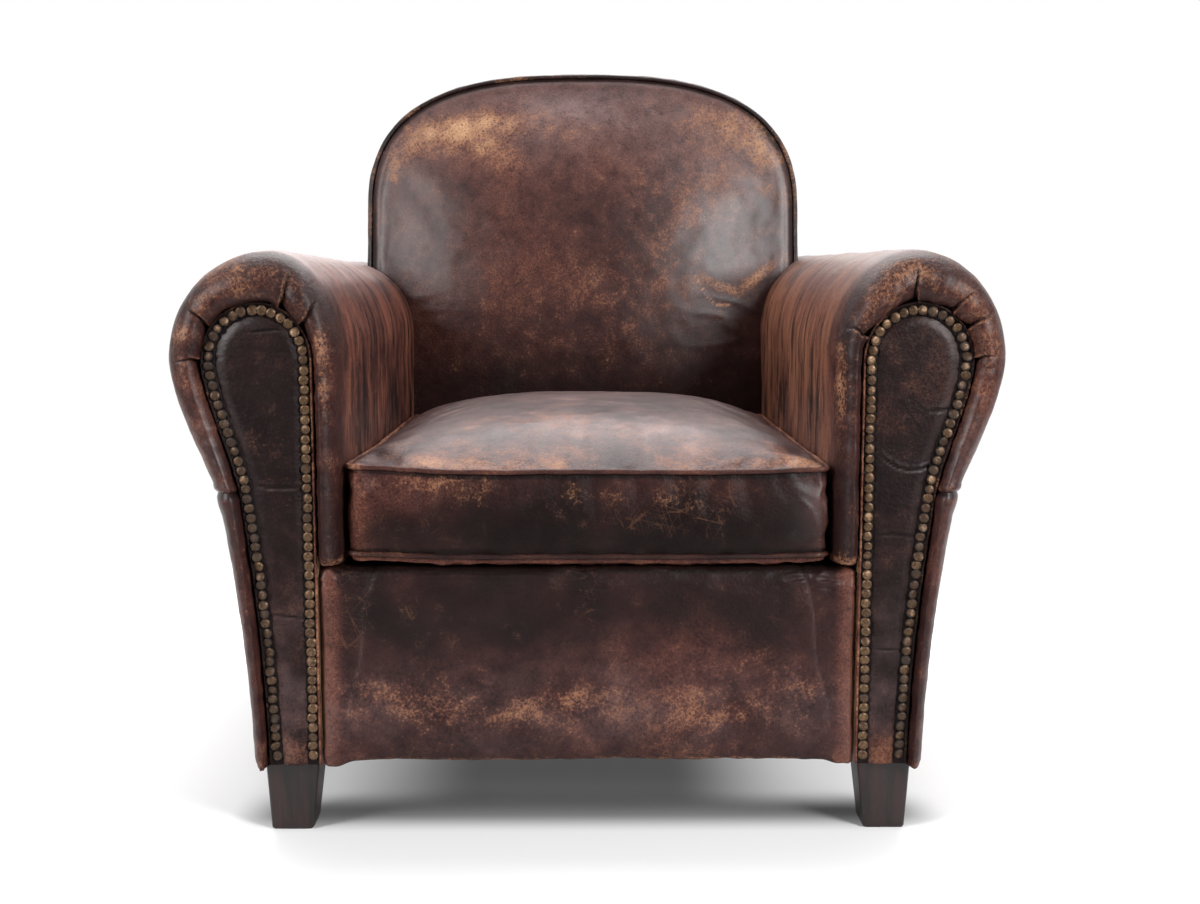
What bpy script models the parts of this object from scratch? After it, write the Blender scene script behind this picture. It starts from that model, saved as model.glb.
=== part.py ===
"""A worn leather club chair with scroll arms, nail-head trim, a loose box cushion and an arched back.

Front of the chair faces -Y, +Z is up, and the origin is on the floor under the middle of the chair.
"left" is -X and "right" is +X, as a person in front of the chair sees them.
Depths are measured backwards from the facing plane, the plane that the nail-head trim lies in.
"""

import math

import bmesh
import bpy

# ---------------------------------------------------------------- driving sizes, metres
GAP = 0.0004  # clearance between pieces that touch
LEATHER = 0.0025

# Seat frame
FRAME_BOTTOM = 0.088
RAIL_TOP = 0.2355
RAIL_THICK = 0.026
STUMP_FRONT = 0.0075
STUMP_THICK = 0.028
SIDE_RAIL_INNER = 0.2949
SIDE_RAIL_OUTER = 0.3160

# Arm section, in the plane of X and Z, for the right arm
ARM_SPRING = 0.485  # height at which the arm's inner wall turns into the roll
ARM_INNER = 0.2450
ARM_OUTER = 0.4178
ARM_FRONT = {-1: (0.3135, 0.1085), 1: (0.3255, 0.1085)}  # the roll's crest: x, and rise above the springing
ARM_REAR = {-1: (0.3450, 0.0960), 1: (0.3260, 0.1045)}  # the left arm has sunk more at the back
ARM_REAR_DEPTH = 0.620
ARM_SEAM = (0.3740, 0.355)
ARM_FOOT = (0.3428, 0.068)
NAIL_INNER = 0.2795
NAIL_OUTER = 0.3735
NAIL_CREST = (0.3265, 0.0495)
NAIL_SEAM = (0.3395, 0.355)
NAIL_FOOT = (0.3162, 0.068)
TOE_IN = 0.0118  # how far the arms close towards the back, per metre of depth
ROLL_BOTTOM = 0.280  # the front roll ends here, above the apron
INNER_BOTTOM = 0.2380
SIDE_DEPTHS = (0.062, 0.300, 0.520)

# The front roll's section: distance from the nail line, then share of the way on to the arm's side, and depth
ROLL_SECTION = (
    (0.0000, 0.00, 0.0052),
    (0.0054, 0.00, 0.0028),
    (0.0068, 0.06, -0.0042),
    (0.0050, 0.25, -0.0088),
    (0.0020, 0.52, -0.0100),
    (0.0000, 0.80, -0.0052),
    (0.0000, 0.94, 0.0080),
    (0.0000, 1.00, 0.0340),
)
ROLL_CREST = 0.0100

# Nail-head trim
NAIL_RADIUS = 0.0046
NAIL_HEIGHT = 0.0032
NAIL_PITCH = 0.00985
TRIM_INNER = -0.0060
TRIM_OUTER = 0.0048
TRIM_BACK = 0.0016
TRIM_FRONT = 0.0002
TRIM_FOOT = 0.0735

# Seat
APRON_HALF = 0.2700
DECK_TOP = 0.2735
HESSIAN_THICK = 0.0016
SPRING_WIRE = 0.0040
SPRING_RADIUS = 0.040
SPRING_WAIST = 0.027
SPRING_TURNS = 4
SPRING_SPACING = 0.155

# Cushion
CUSHION_FRONT = 0.0030
CUSHION_REAR = 0.5420
CUSHION_HALF_FRONT = 0.2405
CUSHION_HALF_REAR = 0.2338
CUSHION_CORNER = 0.024
WELT_RADIUS = 0.0035
BOTTOM_WELT_Z = 0.2850
TOP_WELT_Z = 0.3745
CUSHION_CROWN = 0.0450
CUSHION_BASE = 0.2769

# Back
BACK_SHIFT = -0.0070  # the whole back stands a little left of the middle
BACK_HALF = 0.3017
BACK_TOP = 0.8435
BACK_SPRING = 0.645
BACK_SQUARENESS = 2.70  # exponent of the superellipse that the arched top follows
BACK_BOTTOM = 0.2384
BACK_CROWN = 0.052
BACK_MIDDLE = 0.520
BACK_WELT_RADIUS = 0.0040
POST_INNER = 0.2520
POST_OUTER = 0.2945
POST_TOP = 0.6400
POST_THICK = 0.045
FRAME_BEHIND = 0.0029  # the back frame starts this far in front of the outside back's face
CREST_WIDTH = 0.058

# Legs
LEG_TOP = (0.2740, 0.3320)
LEG_FOOT = (0.2840, 0.3270)
LEG_SETBACK = 0.0080
LEG_SLOPE_FRONT = 0.0050
LEG_SLOPE_INSIDE = 0.0100
LEG_CHAMFER = 0.0020


def welt_depth(z):
    """Depth of the raked plane that the back's welt lies in."""
    return 0.5285 + 0.160 * z


def rear_depth(z):
    """Depth of the outside back's face."""
    return 0.6900 + 0.115 * z


FRONT_Y = (ROLL_CREST - rear_depth(BACK_TOP)) / 2  # centres the chair on the origin


# ---------------------------------------------------------------- helpers
def clear_scene():
    for obj in list(bpy.data.objects):
        bpy.data.objects.remove(obj)


def collection(name):
    made = bpy.data.collections.new(name)
    bpy.context.scene.collection.children.link(made)
    return made


def material(name, colour, roughness, metallic=0.0):
    made = bpy.data.materials.new(name)
    made.use_nodes = True
    shader = made.node_tree.nodes["Principled BSDF"]
    shader.inputs["Base Color"].default_value = (*colour, 1.0)
    shader.inputs["Roughness"].default_value = roughness
    shader.inputs["Metallic"].default_value = metallic
    made.diffuse_color = (*colour, 1.0)
    return made


def at(x, depth, z):
    """A point of the chair: x across, depth behind the facing plane, z up."""
    return (x, FRONT_Y + depth, z)


def back_at(x, depth, z):
    """A point of the back, which stands a little to one side."""
    return at(x + BACK_SHIFT, depth, z)


def toed(x, depth, side=1):
    """An arm's x after the arms' slight closing towards the back, on the given side."""
    return side * (x - TOE_IN * max(depth, 0.0))


def add_mesh(name, points, faces, finish, group=None, smooth=True):
    """A mesh object from points and faces, with its normals made to point outwards."""
    mesh = bpy.data.meshes.new(name)
    mesh.from_pydata(points, [], faces)
    work = bmesh.new()
    work.from_mesh(mesh)
    bmesh.ops.recalc_face_normals(work, faces=work.faces)
    work.to_mesh(mesh)
    work.free()
    mesh.materials.append(finish)
    if smooth:
        mesh.shade_smooth()
        mesh.set_sharp_from_angle(angle=math.radians(35))
    obj = bpy.data.objects.new(name, mesh)
    (group or PARTS).objects.link(obj)
    return obj


def loft(name, rings, finish, group=None, centre_start=None, centre_end=None, smooth=True, band=False):
    """A closed solid through rings of equal length. Each end is one face, or a fan to a centre point, or,
    for a band whose ring goes out along one edge and back along the other, a strip between the edges."""
    count = len(rings[0])
    points = [p for ring in rings for p in ring]
    faces = []
    for r in range(len(rings) - 1):
        for i in range(count):
            j = (i + 1) % count
            faces.append((r * count + i, r * count + j, (r + 1) * count + j, (r + 1) * count + i))
    last = (len(rings) - 1) * count
    for start, centre in ((0, centre_start), (last, centre_end)):
        if band:
            for i in range(count // 2 - 1):
                far = start + count - 1 - i
                faces.append((start + i, start + i + 1, far - 1, far))
        elif centre is None:
            faces.append(tuple(range(start, start + count)))
        else:
            points.append(centre)
            hub = len(points) - 1
            faces += [(start + i, start + (i + 1) % count, hub) for i in range(count)]
    return add_mesh(name, points, faces, finish, group, smooth)


def skin(name, rows, finish, thickness=LEATHER, loop=False, hub=None, outside=None):
    """A sheet of even thickness. Its rows give the outer face, and it thickens away from `outside`."""
    count = len(rows[0])
    points = [p for row in rows for p in row]
    faces = []
    span = count if loop else count - 1
    for r in range(len(rows) - 1):
        for i in range(span):
            j = (i + 1) % count
            faces.append((r * count + i, r * count + j, (r + 1) * count + j, (r + 1) * count + i))
    if hub is not None:
        last = (len(rows) - 1) * count
        points.append(hub)
        faces += [(last + i, last + (i + 1) % count, len(points) - 1) for i in range(count)]
    mesh = bpy.data.meshes.new(name)
    mesh.from_pydata(points, [], faces)
    mesh.update()
    probe = mesh.polygons[len(mesh.polygons) // 2]
    if sum(n * (o - c) for n, o, c in zip(probe.normal, outside, probe.center)) < 0:
        mesh.flip_normals()
    mesh.materials.append(finish)
    mesh.shade_smooth()
    obj = bpy.data.objects.new(name, mesh)
    PARTS.objects.link(obj)
    wall = obj.modifiers.new("wall", "SOLIDIFY")
    wall.thickness = thickness
    wall.offset = -1.0
    wall.use_even_offset = True
    return obj


def box(name, x, depth, z, finish, group=None):
    """A box between two x, two depths and two heights, from a cube primitive."""
    bpy.ops.mesh.primitive_cube_add(size=1.0)
    obj = bpy.context.object
    obj.name = obj.data.name = name
    for old in list(obj.users_collection):
        old.objects.unlink(obj)
    (group or PARTS).objects.link(obj)
    size = (x[1] - x[0], depth[1] - depth[0], z[1] - z[0])
    for vertex in obj.data.vertices:
        vertex.co = [c * s for c, s in zip(vertex.co, size)]
    obj.location = at((x[0] + x[1]) / 2, (depth[0] + depth[1]) / 2, (z[0] + z[1]) / 2)
    obj.data.materials.append(finish)
    return obj


def tube(name, points, radius, finish, loop=False, resolution=1):
    """A round cord along points, as a curve with a bevel and filled caps."""
    curve = bpy.data.curves.new(name, "CURVE")
    curve.dimensions = "3D"
    curve.bevel_depth = radius
    curve.bevel_resolution = resolution
    curve.use_fill_caps = not loop
    spline = curve.splines.new("POLY")
    spline.points.add(len(points) - 1)
    for target, point in zip(spline.points, points):
        target.co = (*point, 1.0)
    spline.use_cyclic_u = loop
    curve.materials.append(finish)
    obj = bpy.data.objects.new(name, curve)
    PARTS.objects.link(obj)
    return obj


def cut(obj, cutters, operation="DIFFERENCE"):
    for cutter in cutters:
        modifier = obj.modifiers.new(cutter.name, "BOOLEAN")
        modifier.operation = operation
        modifier.solver = "EXACT"
        modifier.object = cutter


def helper(obj):
    obj.hide_render = True
    obj.display_type = "WIRE"
    return obj


def bezier(a, b, c, d, steps):
    """Points of a cubic curve after its first, to its last."""
    points = []
    for k in range(1, steps + 1):
        t = k / steps
        weights = ((1 - t) ** 3, 3 * t * (1 - t) ** 2, 3 * t * t * (1 - t), t**3)
        points.append(tuple(sum(w * p[i] for w, p in zip(weights, (a, b, c, d))) for i in (0, 1)))
    return points


# ---------------------------------------------------------------- the arm's outline
def arch(inner, crest, outer, rise, steps):
    """The roll's top, two quarter ellipses that meet at the crest, after its first point."""
    points = []
    for k in range(1, steps + 1):
        a = math.pi * (1 - k / steps)
        half = crest - inner if math.cos(a) < 0 else outer - crest
        points.append((crest + half * math.cos(a), ARM_SPRING + rise * math.sin(a)))
    return points


def lower_side(foot, seam, straightness, z):
    """x of the arm's outer side below the seam: a line that bows a little inwards."""
    share = (z - foot[1]) / (seam[1] - foot[1])
    return foot[0] + (seam[0] - foot[0]) * (straightness * share + (1 - straightness) * share**2)


def arm_crest(depth, side):
    """x and rise of the roll's crest, which moves outwards and sinks towards the back."""
    share = min(max(depth / ARM_REAR_DEPTH, 0.0), 1.0)
    return tuple(a + (b - a) * share for a, b in zip(ARM_FRONT[side], ARM_REAR[side]))


def arm_side(inner_z, outer_z, low_steps=3, crest=ARM_FRONT[1], arch_steps=10, side_steps=5):
    """The arm's full outline and the nail line, point for point, from inner bottom to outer bottom."""
    full = [(ARM_INNER, inner_z), (ARM_INNER, ARM_SPRING)]
    nail = [(NAIL_INNER, inner_z), (NAIL_INNER, ARM_SPRING)]
    full += arch(ARM_INNER, crest[0], ARM_OUTER, crest[1], arch_steps)
    nail += arch(NAIL_INNER, NAIL_CREST[0], NAIL_OUTER, NAIL_CREST[1], arch_steps)
    full += bezier(full[-1], (ARM_OUTER, 0.450), (0.3885, 0.388), ARM_SEAM, side_steps)
    nail += bezier(nail[-1], (NAIL_OUTER, 0.452), (0.3460, 0.392), NAIL_SEAM, side_steps)
    for k in range(1, low_steps + 1):
        z = ARM_SEAM[1] + (outer_z - ARM_SEAM[1]) * k / low_steps
        full.append((lower_side(ARM_FOOT, ARM_SEAM, 0.25, z), z))
        nail.append((lower_side(NAIL_FOOT, NAIL_SEAM, 0.22, z), z))
    return full, nail


def outline_at(full, nail, share, extra=0.0):
    """The outline that share of the way from nail line to arm side, moved outwards by extra."""
    points = []
    for (fx, fz), (nx, nz) in zip(full, nail):
        reach = math.hypot(fx - nx, fz - nz)
        s = share + extra / reach
        points.append((nx + s * (fx - nx), nz + s * (fz - nz)))
    return points


def roll_section_inside(by):
    """The front roll's section moved inwards by a distance: (away, share, depth) for each station."""
    typical = 0.035
    section = [(away + share * typical, d) for away, share, d in ROLL_SECTION] + [(typical, 0.1)]
    moved = []
    for k, (away, share, d) in enumerate(ROLL_SECTION):
        before, after = section[max(k - 1, 0)], section[k + 1]
        run = (after[0] - before[0], after[1] - before[1])
        size = math.hypot(*run)
        moved.append((away - run[1] / size * by, share, d + run[0] / size * by))
    return moved


def arm_rows(side, by, start, first, last, low_steps, foot, rear_margin):
    """Rows of an arm surface, `by` under the leather's face, from the groove at the nails to the rear."""
    stations = roll_section_inside(by)[start:]
    stations += [(-by, 1.0, d) for d in (*SIDE_DEPTHS, None)]
    rows = []
    for k, (away, share, depth) in enumerate(stations):
        bottom = ROLL_BOTTOM if k < len(ROLL_SECTION) - start else INNER_BOTTOM
        crest = arm_crest(rear_depth(ARM_SPRING) if depth is None else depth, side)
        full, nail = arm_side(bottom, foot, low_steps, crest)
        row = []
        for x, z in outline_at(full, nail, share, away)[first:last]:
            d = rear_depth(z) - rear_margin if depth is None else depth
            row.append(at(toed(x, d, side), d, z))
        rows.append(row)
    return rows


SEAM_INDEX = 2 + 10 + 5  # outline points before the seam's, with the seam's own


# ---------------------------------------------------------------- the back's outline
def back_outline(inset, bottom, steps=18):
    """The back seen from the front: straight sides under a superellipse arch, right side first."""
    half, rise = BACK_HALF - inset, BACK_TOP - inset - BACK_SPRING
    power = 2 / BACK_SQUARENESS
    points = [(half, bottom)]
    for k in range(steps + 1):
        a = math.pi * k / steps
        c, s = math.cos(a), abs(math.sin(a))
        points.append((math.copysign(half * abs(c) ** power, c), BACK_SPRING + rise * s**power))
    points.append((-half, bottom))
    return points


def back_crown(share):
    """How far the inside back stands forward of the welt, at a share of the way out to the edge."""
    return BACK_CROWN * (1 - share**2.6)


def back_rings(inset, forward, bottom=BACK_BOTTOM):
    """Rings of the crowned inside back, from its edge inwards, `forward` of the leather's own face."""
    edge = back_outline(inset, bottom + inset / 2)
    rings = []
    for share in (1.0, 0.90, 0.74, 0.52, 0.26):
        ring = []
        for x, z in edge:
            px, pz = x * share, BACK_MIDDLE + (z - BACK_MIDDLE) * share
            ring.append(back_at(px, welt_depth(pz) + 0.001 - back_crown(share) - forward, pz))
        rings.append(ring)
    hub = back_at(0.0, welt_depth(BACK_MIDDLE) + 0.001 - BACK_CROWN - forward, BACK_MIDDLE)
    return rings, hub


def rear_ring(outline, before):
    """An outline of the back laid in a plane parallel to its face, that far in front of it."""
    return [back_at(x, rear_depth(z) - before, z) for x, z in outline]


# ---------------------------------------------------------------- frame
def seat_frame():
    stump_rear = STUMP_FRONT + STUMP_THICK
    front_half = NAIL_INNER - 0.0089
    box(
        "front_seat_rail",
        (-front_half, front_half),
        (0.0140, 0.0140 + RAIL_THICK),
        (FRAME_BOTTOM, RAIL_TOP),
        WOOD,
    )
    rail = [
        (-POST_INNER + GAP, FRAME_BOTTOM),
        (POST_INNER - GAP, FRAME_BOTTOM),
        (POST_INNER - GAP, RAIL_TOP),
        (-POST_INNER + GAP, RAIL_TOP),
    ]
    rings = [rear_ring(rail, before) for before in (FRAME_BEHIND + RAIL_THICK, FRAME_BEHIND)]
    loft("rear_seat_rail", rings, WOOD, smooth=False)
    for side, word in SIDES:
        section = [
            (SIDE_RAIL_INNER, FRAME_BOTTOM),
            (SIDE_RAIL_OUTER, FRAME_BOTTOM),
            (SIDE_RAIL_OUTER, RAIL_TOP),
            (SIDE_RAIL_INNER, RAIL_TOP),
        ]
        front = [at(side * x, stump_rear + GAP, z) for x, z in section]
        rear = [at(side * x, rear_depth(z) - FRAME_BEHIND - POST_THICK - GAP, z) for x, z in section]
        loft(f"{word}_seat_rail", [front, rear], WOOD, smooth=False)


def corner_blocks():
    leg = 0.058
    top = FRAME_BOTTOM + 0.070
    for side, word in SIDES:
        x = SIDE_RAIL_INNER - GAP
        front = 0.0140 + RAIL_THICK + GAP
        rear = rear_depth(FRAME_BOTTOM) - FRAME_BEHIND - POST_THICK - GAP
        for place, corner, run in (("front", front, leg), ("rear", rear, -leg)):
            triangle = [(x, corner), (x - leg, corner), (x, corner + run)]
            rings = [[at(side * px, d, z) for px, d in triangle] for z in (FRAME_BOTTOM, top)]
            loft(f"{place}_{word}_corner_block", rings, WOOD, smooth=False)


def arm_boards():
    """The front stump that carries the facing and nails, and the board that closes the arm's rear."""
    full, nail = arm_side(FRAME_BOTTOM, FRAME_BOTTOM)
    for side, word in SIDES:
        shape = outline_at(full, nail, 0.0, 0.008)
        depths = (STUMP_FRONT, STUMP_FRONT + STUMP_THICK)
        rings = [[at(toed(x, d, side), d, z) for x, z in shape] for d in depths]
        loft(f"{word}_front_stump", rings, WOOD, smooth=False)
        rings = []
        for before in (FRAME_BEHIND + STUMP_THICK, FRAME_BEHIND):
            ring = []
            for x, z in shape:
                d = rear_depth(z) - before
                ring.append(at(toed(x, d, side), d, z))
            rings.append(ring)
        board = loft(f"{word}_rear_arm_board", rings, WOOD, smooth=False)
        cut(board, BACK_CUTTERS)


def arm_top_rails():
    """A rounded rail that fills the top of the arm's hollow, from stump to rear board."""
    bottom = 0.492
    full, nail = arm_side(bottom, FRAME_BOTTOM)
    for side, word in SIDES:
        shape = outline_at(full, nail, 0.0, 0.008)
        roll = [p for p in shape if p[1] > bottom + 0.001]
        ends = [(roll[0][0], bottom), (roll[-1][0], bottom)]
        section = [ends[0], *roll, ends[1]]
        front = STUMP_FRONT + STUMP_THICK + GAP
        before = FRAME_BEHIND + STUMP_THICK + GAP
        rings = [[at(toed(x, front, side), front, z) for x, z in section]]
        middle = 0.5
        rings.append([at(toed(x, middle, side), middle, z) for x, z in section])
        last = []
        for x, z in section:
            d = rear_depth(z) - before
            last.append(at(toed(x, d, side), d, z))
        rings.append(last)
        rail = loft(f"{word}_arm_top_rail", rings, WOOD, smooth=False)
        cut(rail, BACK_CUTTERS)


def back_frame():
    front, rear = FRAME_BEHIND + POST_THICK, FRAME_BEHIND
    for side, word in SIDES:
        section = [
            (side * POST_INNER, FRAME_BOTTOM),
            (side * POST_OUTER, FRAME_BOTTOM),
            (side * POST_OUTER, POST_TOP),
            (side * POST_INNER, POST_TOP),
        ]
        rings = [rear_ring(section, before) for before in (front, rear)]
        loft(f"{word}_back_post", rings, WOOD, smooth=False)
    inset = BACK_HALF - POST_OUTER + 0.004
    outer = back_outline(inset, POST_TOP + GAP, 14)
    inner = back_outline(inset + CREST_WIDTH, POST_TOP + GAP, 14)
    rings = [rear_ring(outer + inner[::-1], before) for before in (front, rear)]
    loft("crest_rail", rings, WOOD, smooth=False, band=True)
    half = POST_INNER - GAP
    section = [(-half, 0.250), (half, 0.250), (half, 0.300), (-half, 0.300)]
    rings = [rear_ring(section, before) for before in (front, rear + 0.012)]
    loft("lower_back_rail", rings, WOOD, smooth=False)


def legs():
    for side, word in SIDES:
        rear = rear_depth(FRAME_BOTTOM) - 0.004
        width = LEG_TOP[1] - LEG_TOP[0]
        for place, face, inwards in (("front", LEG_SETBACK, 1), ("rear", rear, -1)):
            rings = []
            for z, share in ((0.0, 0.0), (LEG_CHAMFER, 0.0), (FRAME_BOTTOM - GAP, 1.0)):
                pinch = LEG_CHAMFER if z == 0.0 else 0.0
                x0 = LEG_FOOT[0] + (LEG_TOP[0] - LEG_FOOT[0]) * share + pinch
                x1 = LEG_FOOT[1] + (LEG_TOP[1] - LEG_FOOT[1]) * share - pinch
                near = LEG_SLOPE_FRONT * (1 - share) + pinch
                far = width - LEG_SLOPE_INSIDE * (1 - share) - pinch
                corners = ((x0, near), (x1, near), (x1, far), (x0, far))
                rings.append([at(side * x, face + inwards * d, z) for x, d in corners])
            loft(f"{place}_{word}_leg", rings, LEG_WOOD, smooth=False)


# ---------------------------------------------------------------- springs and webbing
def strap(name, start, end, across, lift, crossings, width, finish):
    """One webbing strap that rises and falls as it passes over and under the straps it crosses."""
    thick = 0.0018
    points = []
    run = [e - s for s, e in zip(start, end)]
    stops = [(0.0, 0.0)]
    for place, up in crossings:
        stops += [(place - 0.055, up), (place + 0.055, up)]
    stops.append((1.0, 0.0))
    for face in (0, 1):
        for edge in (-1, 1):
            for place, up in stops:
                base = [s + r * place for s, r in zip(start, run)]
                height = up + (thick if face else 0.0)
                points.append(
                    tuple(b + a * edge * width / 2 + n * height for b, a, n in zip(base, across, lift))
                )
    n = len(stops)
    faces = []
    for k in range(n - 1):
        faces += [(k, k + 1, n + k + 1, n + k), (2 * n + k, 3 * n + k, 3 * n + k + 1, 2 * n + k + 1)]
        faces += [(k, 2 * n + k, 2 * n + k + 1, k + 1), (n + k, n + k + 1, 3 * n + k + 1, 3 * n + k)]
    faces += [(0, n, 3 * n, 2 * n), (n - 1, 3 * n - 1, 4 * n - 1, 2 * n - 1)]
    return add_mesh(name, points, faces, finish, CUTTERS, smooth=False)


def woven(name, straps, finish):
    """Straps joined where they cross, as one panel of webbing."""
    first = straps[0]
    CUTTERS.objects.unlink(first)
    PARTS.objects.link(first)
    first.name = first.data.name = name
    for other in straps[1:]:
        helper(other)
    cut(first, straps[1:], "UNION")
    return first


def weave(width, warp_ends, weft_ends, across_warp, across_weft, lift, name):
    """Three straps one way over and under three the other way, a hair into each other where they cross."""
    rise = 0.0017
    straps = []
    for i, (start, end) in enumerate(warp_ends):
        crossings = [(0.5 + 0.27 * (j - 1), rise * ((i + j) % 2)) for j in range(3)]
        straps.append(strap(f"{name}_warp_{i}", start, end, across_warp, lift, crossings, width, JUTE))
    for j, (start, end) in enumerate(weft_ends):
        crossings = [(0.5 + 0.27 * (i - 1), rise * ((i + j + 1) % 2)) for i in range(3)]
        straps.append(strap(f"{name}_weft_{j}", start, end, across_weft, lift, crossings, width, JUTE))
    return woven(name, straps, JUTE)


def seat_webbing():
    z = FRAME_BOTTOM - 0.0041
    x0, d0, d1 = 0.300, 0.030, 0.690
    places = [(k - 1) * 0.27 for k in range(3)]
    warp = [(at(2 * x0 * p, d0, z), at(2 * x0 * p, d1, z)) for p in places]
    middle, length = (d0 + d1) / 2, d1 - d0
    weft = [(at(-x0, middle + length * p, z), at(x0, middle + length * p, z)) for p in places]
    weave(0.050, warp, weft, (1, 0, 0), (0, 1, 0), (0, 0, 1), "seat_webbing")


def back_webbing():
    before = FRAME_BEHIND + POST_THICK + 0.0042
    low, high, half = 0.262, 0.790, 0.270

    def place(x, z):
        return back_at(x, rear_depth(z) - before, z)

    places = [(k - 1) * 0.27 for k in range(3)]
    warp = [(place(2 * half * p, low), place(2 * half * p, high)) for p in places]
    middle, length = (low + high) / 2, high - low
    weft = [(place(-half, middle + length * p), place(half, middle + length * p)) for p in places]
    slope = (0, 0.115, 1)
    weave(0.050, warp, weft, (1, 0, 0), slope, (0, 1, 0), "back_webbing")


def seat_springs():
    """Nine waisted coil springs between the webbing and the hessian, with flattened end coils."""
    low = FRAME_BOTTOM - 0.0001 + SPRING_WIRE / 2
    high = RAIL_TOP - SPRING_WIRE / 2
    per_turn = 8
    count = SPRING_TURNS * per_turn
    for row in range(3):
        for column in range(3):
            x0 = (column - 1) * SPRING_SPACING
            d0 = 0.360 + (row - 1) * 0.178
            points = []
            for k in range(count + 1):
                share = k / count
                angle = 2 * math.pi * k / per_turn
                radius = SPRING_WAIST + (SPRING_RADIUS - SPRING_WAIST) * (2 * share - 1) ** 2
                climb = min(max((k - per_turn / 2) / (count - per_turn), 0.0), 1.0)
                z = low + (high - low) * climb
                points.append(at(x0 + radius * math.cos(angle), d0 + radius * math.sin(angle), z))
            tube(f"seat_spring_{3 * row + column + 1}", points, SPRING_WIRE / 2, STEEL)


# ---------------------------------------------------------------- seat
def deck():
    top = RAIL_TOP + GAP + HESSIAN_THICK
    box(
        "seat_hessian",
        (-0.2510, 0.2510),
        (0.0150, 0.640),
        (RAIL_TOP + GAP, top),
        JUTE,
    )
    profile = [
        (0.0013, top + GAP),
        (0.0013, 0.258),
        (0.0050, 0.268),
        (0.0140, DECK_TOP),
        (0.5480, DECK_TOP),
        (0.5530, top + GAP),
    ]
    rings = []
    for side in (-1, 1):
        rings.append([at(toed(ARM_INNER - 0.0012, d, side), d, z) for d, z in profile])
    loft("seat_deck_pad", rings, WADDING)


def apron():
    top = DECK_TOP + GAP + LEATHER
    narrow = ARM_INNER - 0.0018
    rows = [
        (0.0600, top, narrow),
        (0.0270, top, narrow),
        (0.0230, top, APRON_HALF),
        (0.0130, top, APRON_HALF),
        (0.0040, top - 0.004, APRON_HALF),
        (-0.0010, 0.2620, APRON_HALF),
        (-0.0022, 0.2450, APRON_HALF),
        (-0.0015, 0.1800, APRON_HALF),
        (-0.0005, 0.1200, APRON_HALF),
        (0.0010, 0.0790, APRON_HALF),
    ]
    sheet = []
    for d, z, half in rows:
        sheet.append([at(half * share, d, z) for share in (-1, -0.5, 0, 0.5, 1)])
    skin("apron_cover", sheet, HIDE, outside=at(0, -1, 0.2))
    profile = [
        (0.0010, RAIL_TOP + HESSIAN_THICK),
        (0.0016, 0.1800),
        (0.0026, 0.1200),
        (0.0040, 0.0800),
        (0.0136, 0.0800),
        (0.0136, RAIL_TOP + HESSIAN_THICK),
    ]
    rings = [[at(side * APRON_HALF, d, z) for d, z in profile] for side in (-1, 1)]
    loft("apron_pad", rings, WADDING, smooth=False)


def dust_cover():
    """Thin cloth under the whole seat and both arms, notched around the four legs."""
    z = FRAME_BOTTOM - 0.0044
    front, behind_leg, before_leg, rear = 0.0150, 0.0690, 0.6340, 0.6900
    leg_side, side = LEG_TOP[0] - 0.0020, ARM_FOOT[0] - LEATHER - 0.0012
    half = [
        (leg_side, front),
        (leg_side, behind_leg),
        (toed(side, behind_leg), behind_leg),
        (toed(side, before_leg), before_leg),
        (leg_side, before_leg),
        (leg_side, rear),
    ]
    outline = half + [(-x, d) for x, d in half[::-1]]
    rings = [[at(x, d, height) for x, d in outline] for height in (z - 0.0012, z)]
    loft("dust_cover", rings, CAMBRIC, smooth=False)


# ---------------------------------------------------------------- cushion
def cushion_outline(inset):
    """The cushion from above: a rounded box, a little narrower at the rear."""
    corner_steps, points = 3, []
    corners = (
        (CUSHION_HALF_FRONT, CUSHION_FRONT, -90, 1),
        (CUSHION_HALF_REAR, CUSHION_REAR, 0, 1),
        (CUSHION_HALF_REAR, CUSHION_REAR, 90, -1),
        (CUSHION_HALF_FRONT, CUSHION_FRONT, 180, -1),
    )
    radius = CUSHION_CORNER - inset
    for half, depth, start, side in corners:
        cx = side * (half - CUSHION_CORNER)
        front = depth == CUSHION_FRONT
        cd = depth + CUSHION_CORNER if front else depth - CUSHION_CORNER
        for k in range(corner_steps + 1):
            a = math.radians(start + 90 * k / corner_steps)
            points.append((cx + radius * math.cos(a), cd + radius * math.sin(a)))
    filled = []
    for k, point in enumerate(points):
        filled.append(point)
        after = points[(k + 1) % len(points)]
        if math.hypot(after[0] - point[0], after[1] - point[1]) > 0.2:
            filled += [
                tuple(p + (q - p) * share for p, q in zip(point, after)) for share in (1 / 3, 2 / 3)
            ]
    return filled


def cushion_rings(inset, edge_z, rise, shares):
    """Rings that climb from an edge to the middle of a crowned cushion face."""
    middle = (CUSHION_FRONT + CUSHION_REAR) / 2
    edge = cushion_outline(inset)
    half_x, half_d = max(x for x, _ in edge), max(d for _, d in edge) - middle
    rings = []
    for share in shares:
        ring = []
        for x, d in edge:
            u, v = share * x / half_x, share * (d - middle) / half_d
            dome = max((1 - abs(u) ** 2.6) * (1 - abs(v) ** 2.6), 0.0) ** 0.7
            ring.append(at(x * share, middle + (d - middle) * share, edge_z + rise * dome))
        rings.append(ring)
    for k, point in enumerate(rings[0]):
        rings[0][k] = (point[0], point[1], edge_z)
    return rings, at(0.0, middle, edge_z + rise)


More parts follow.
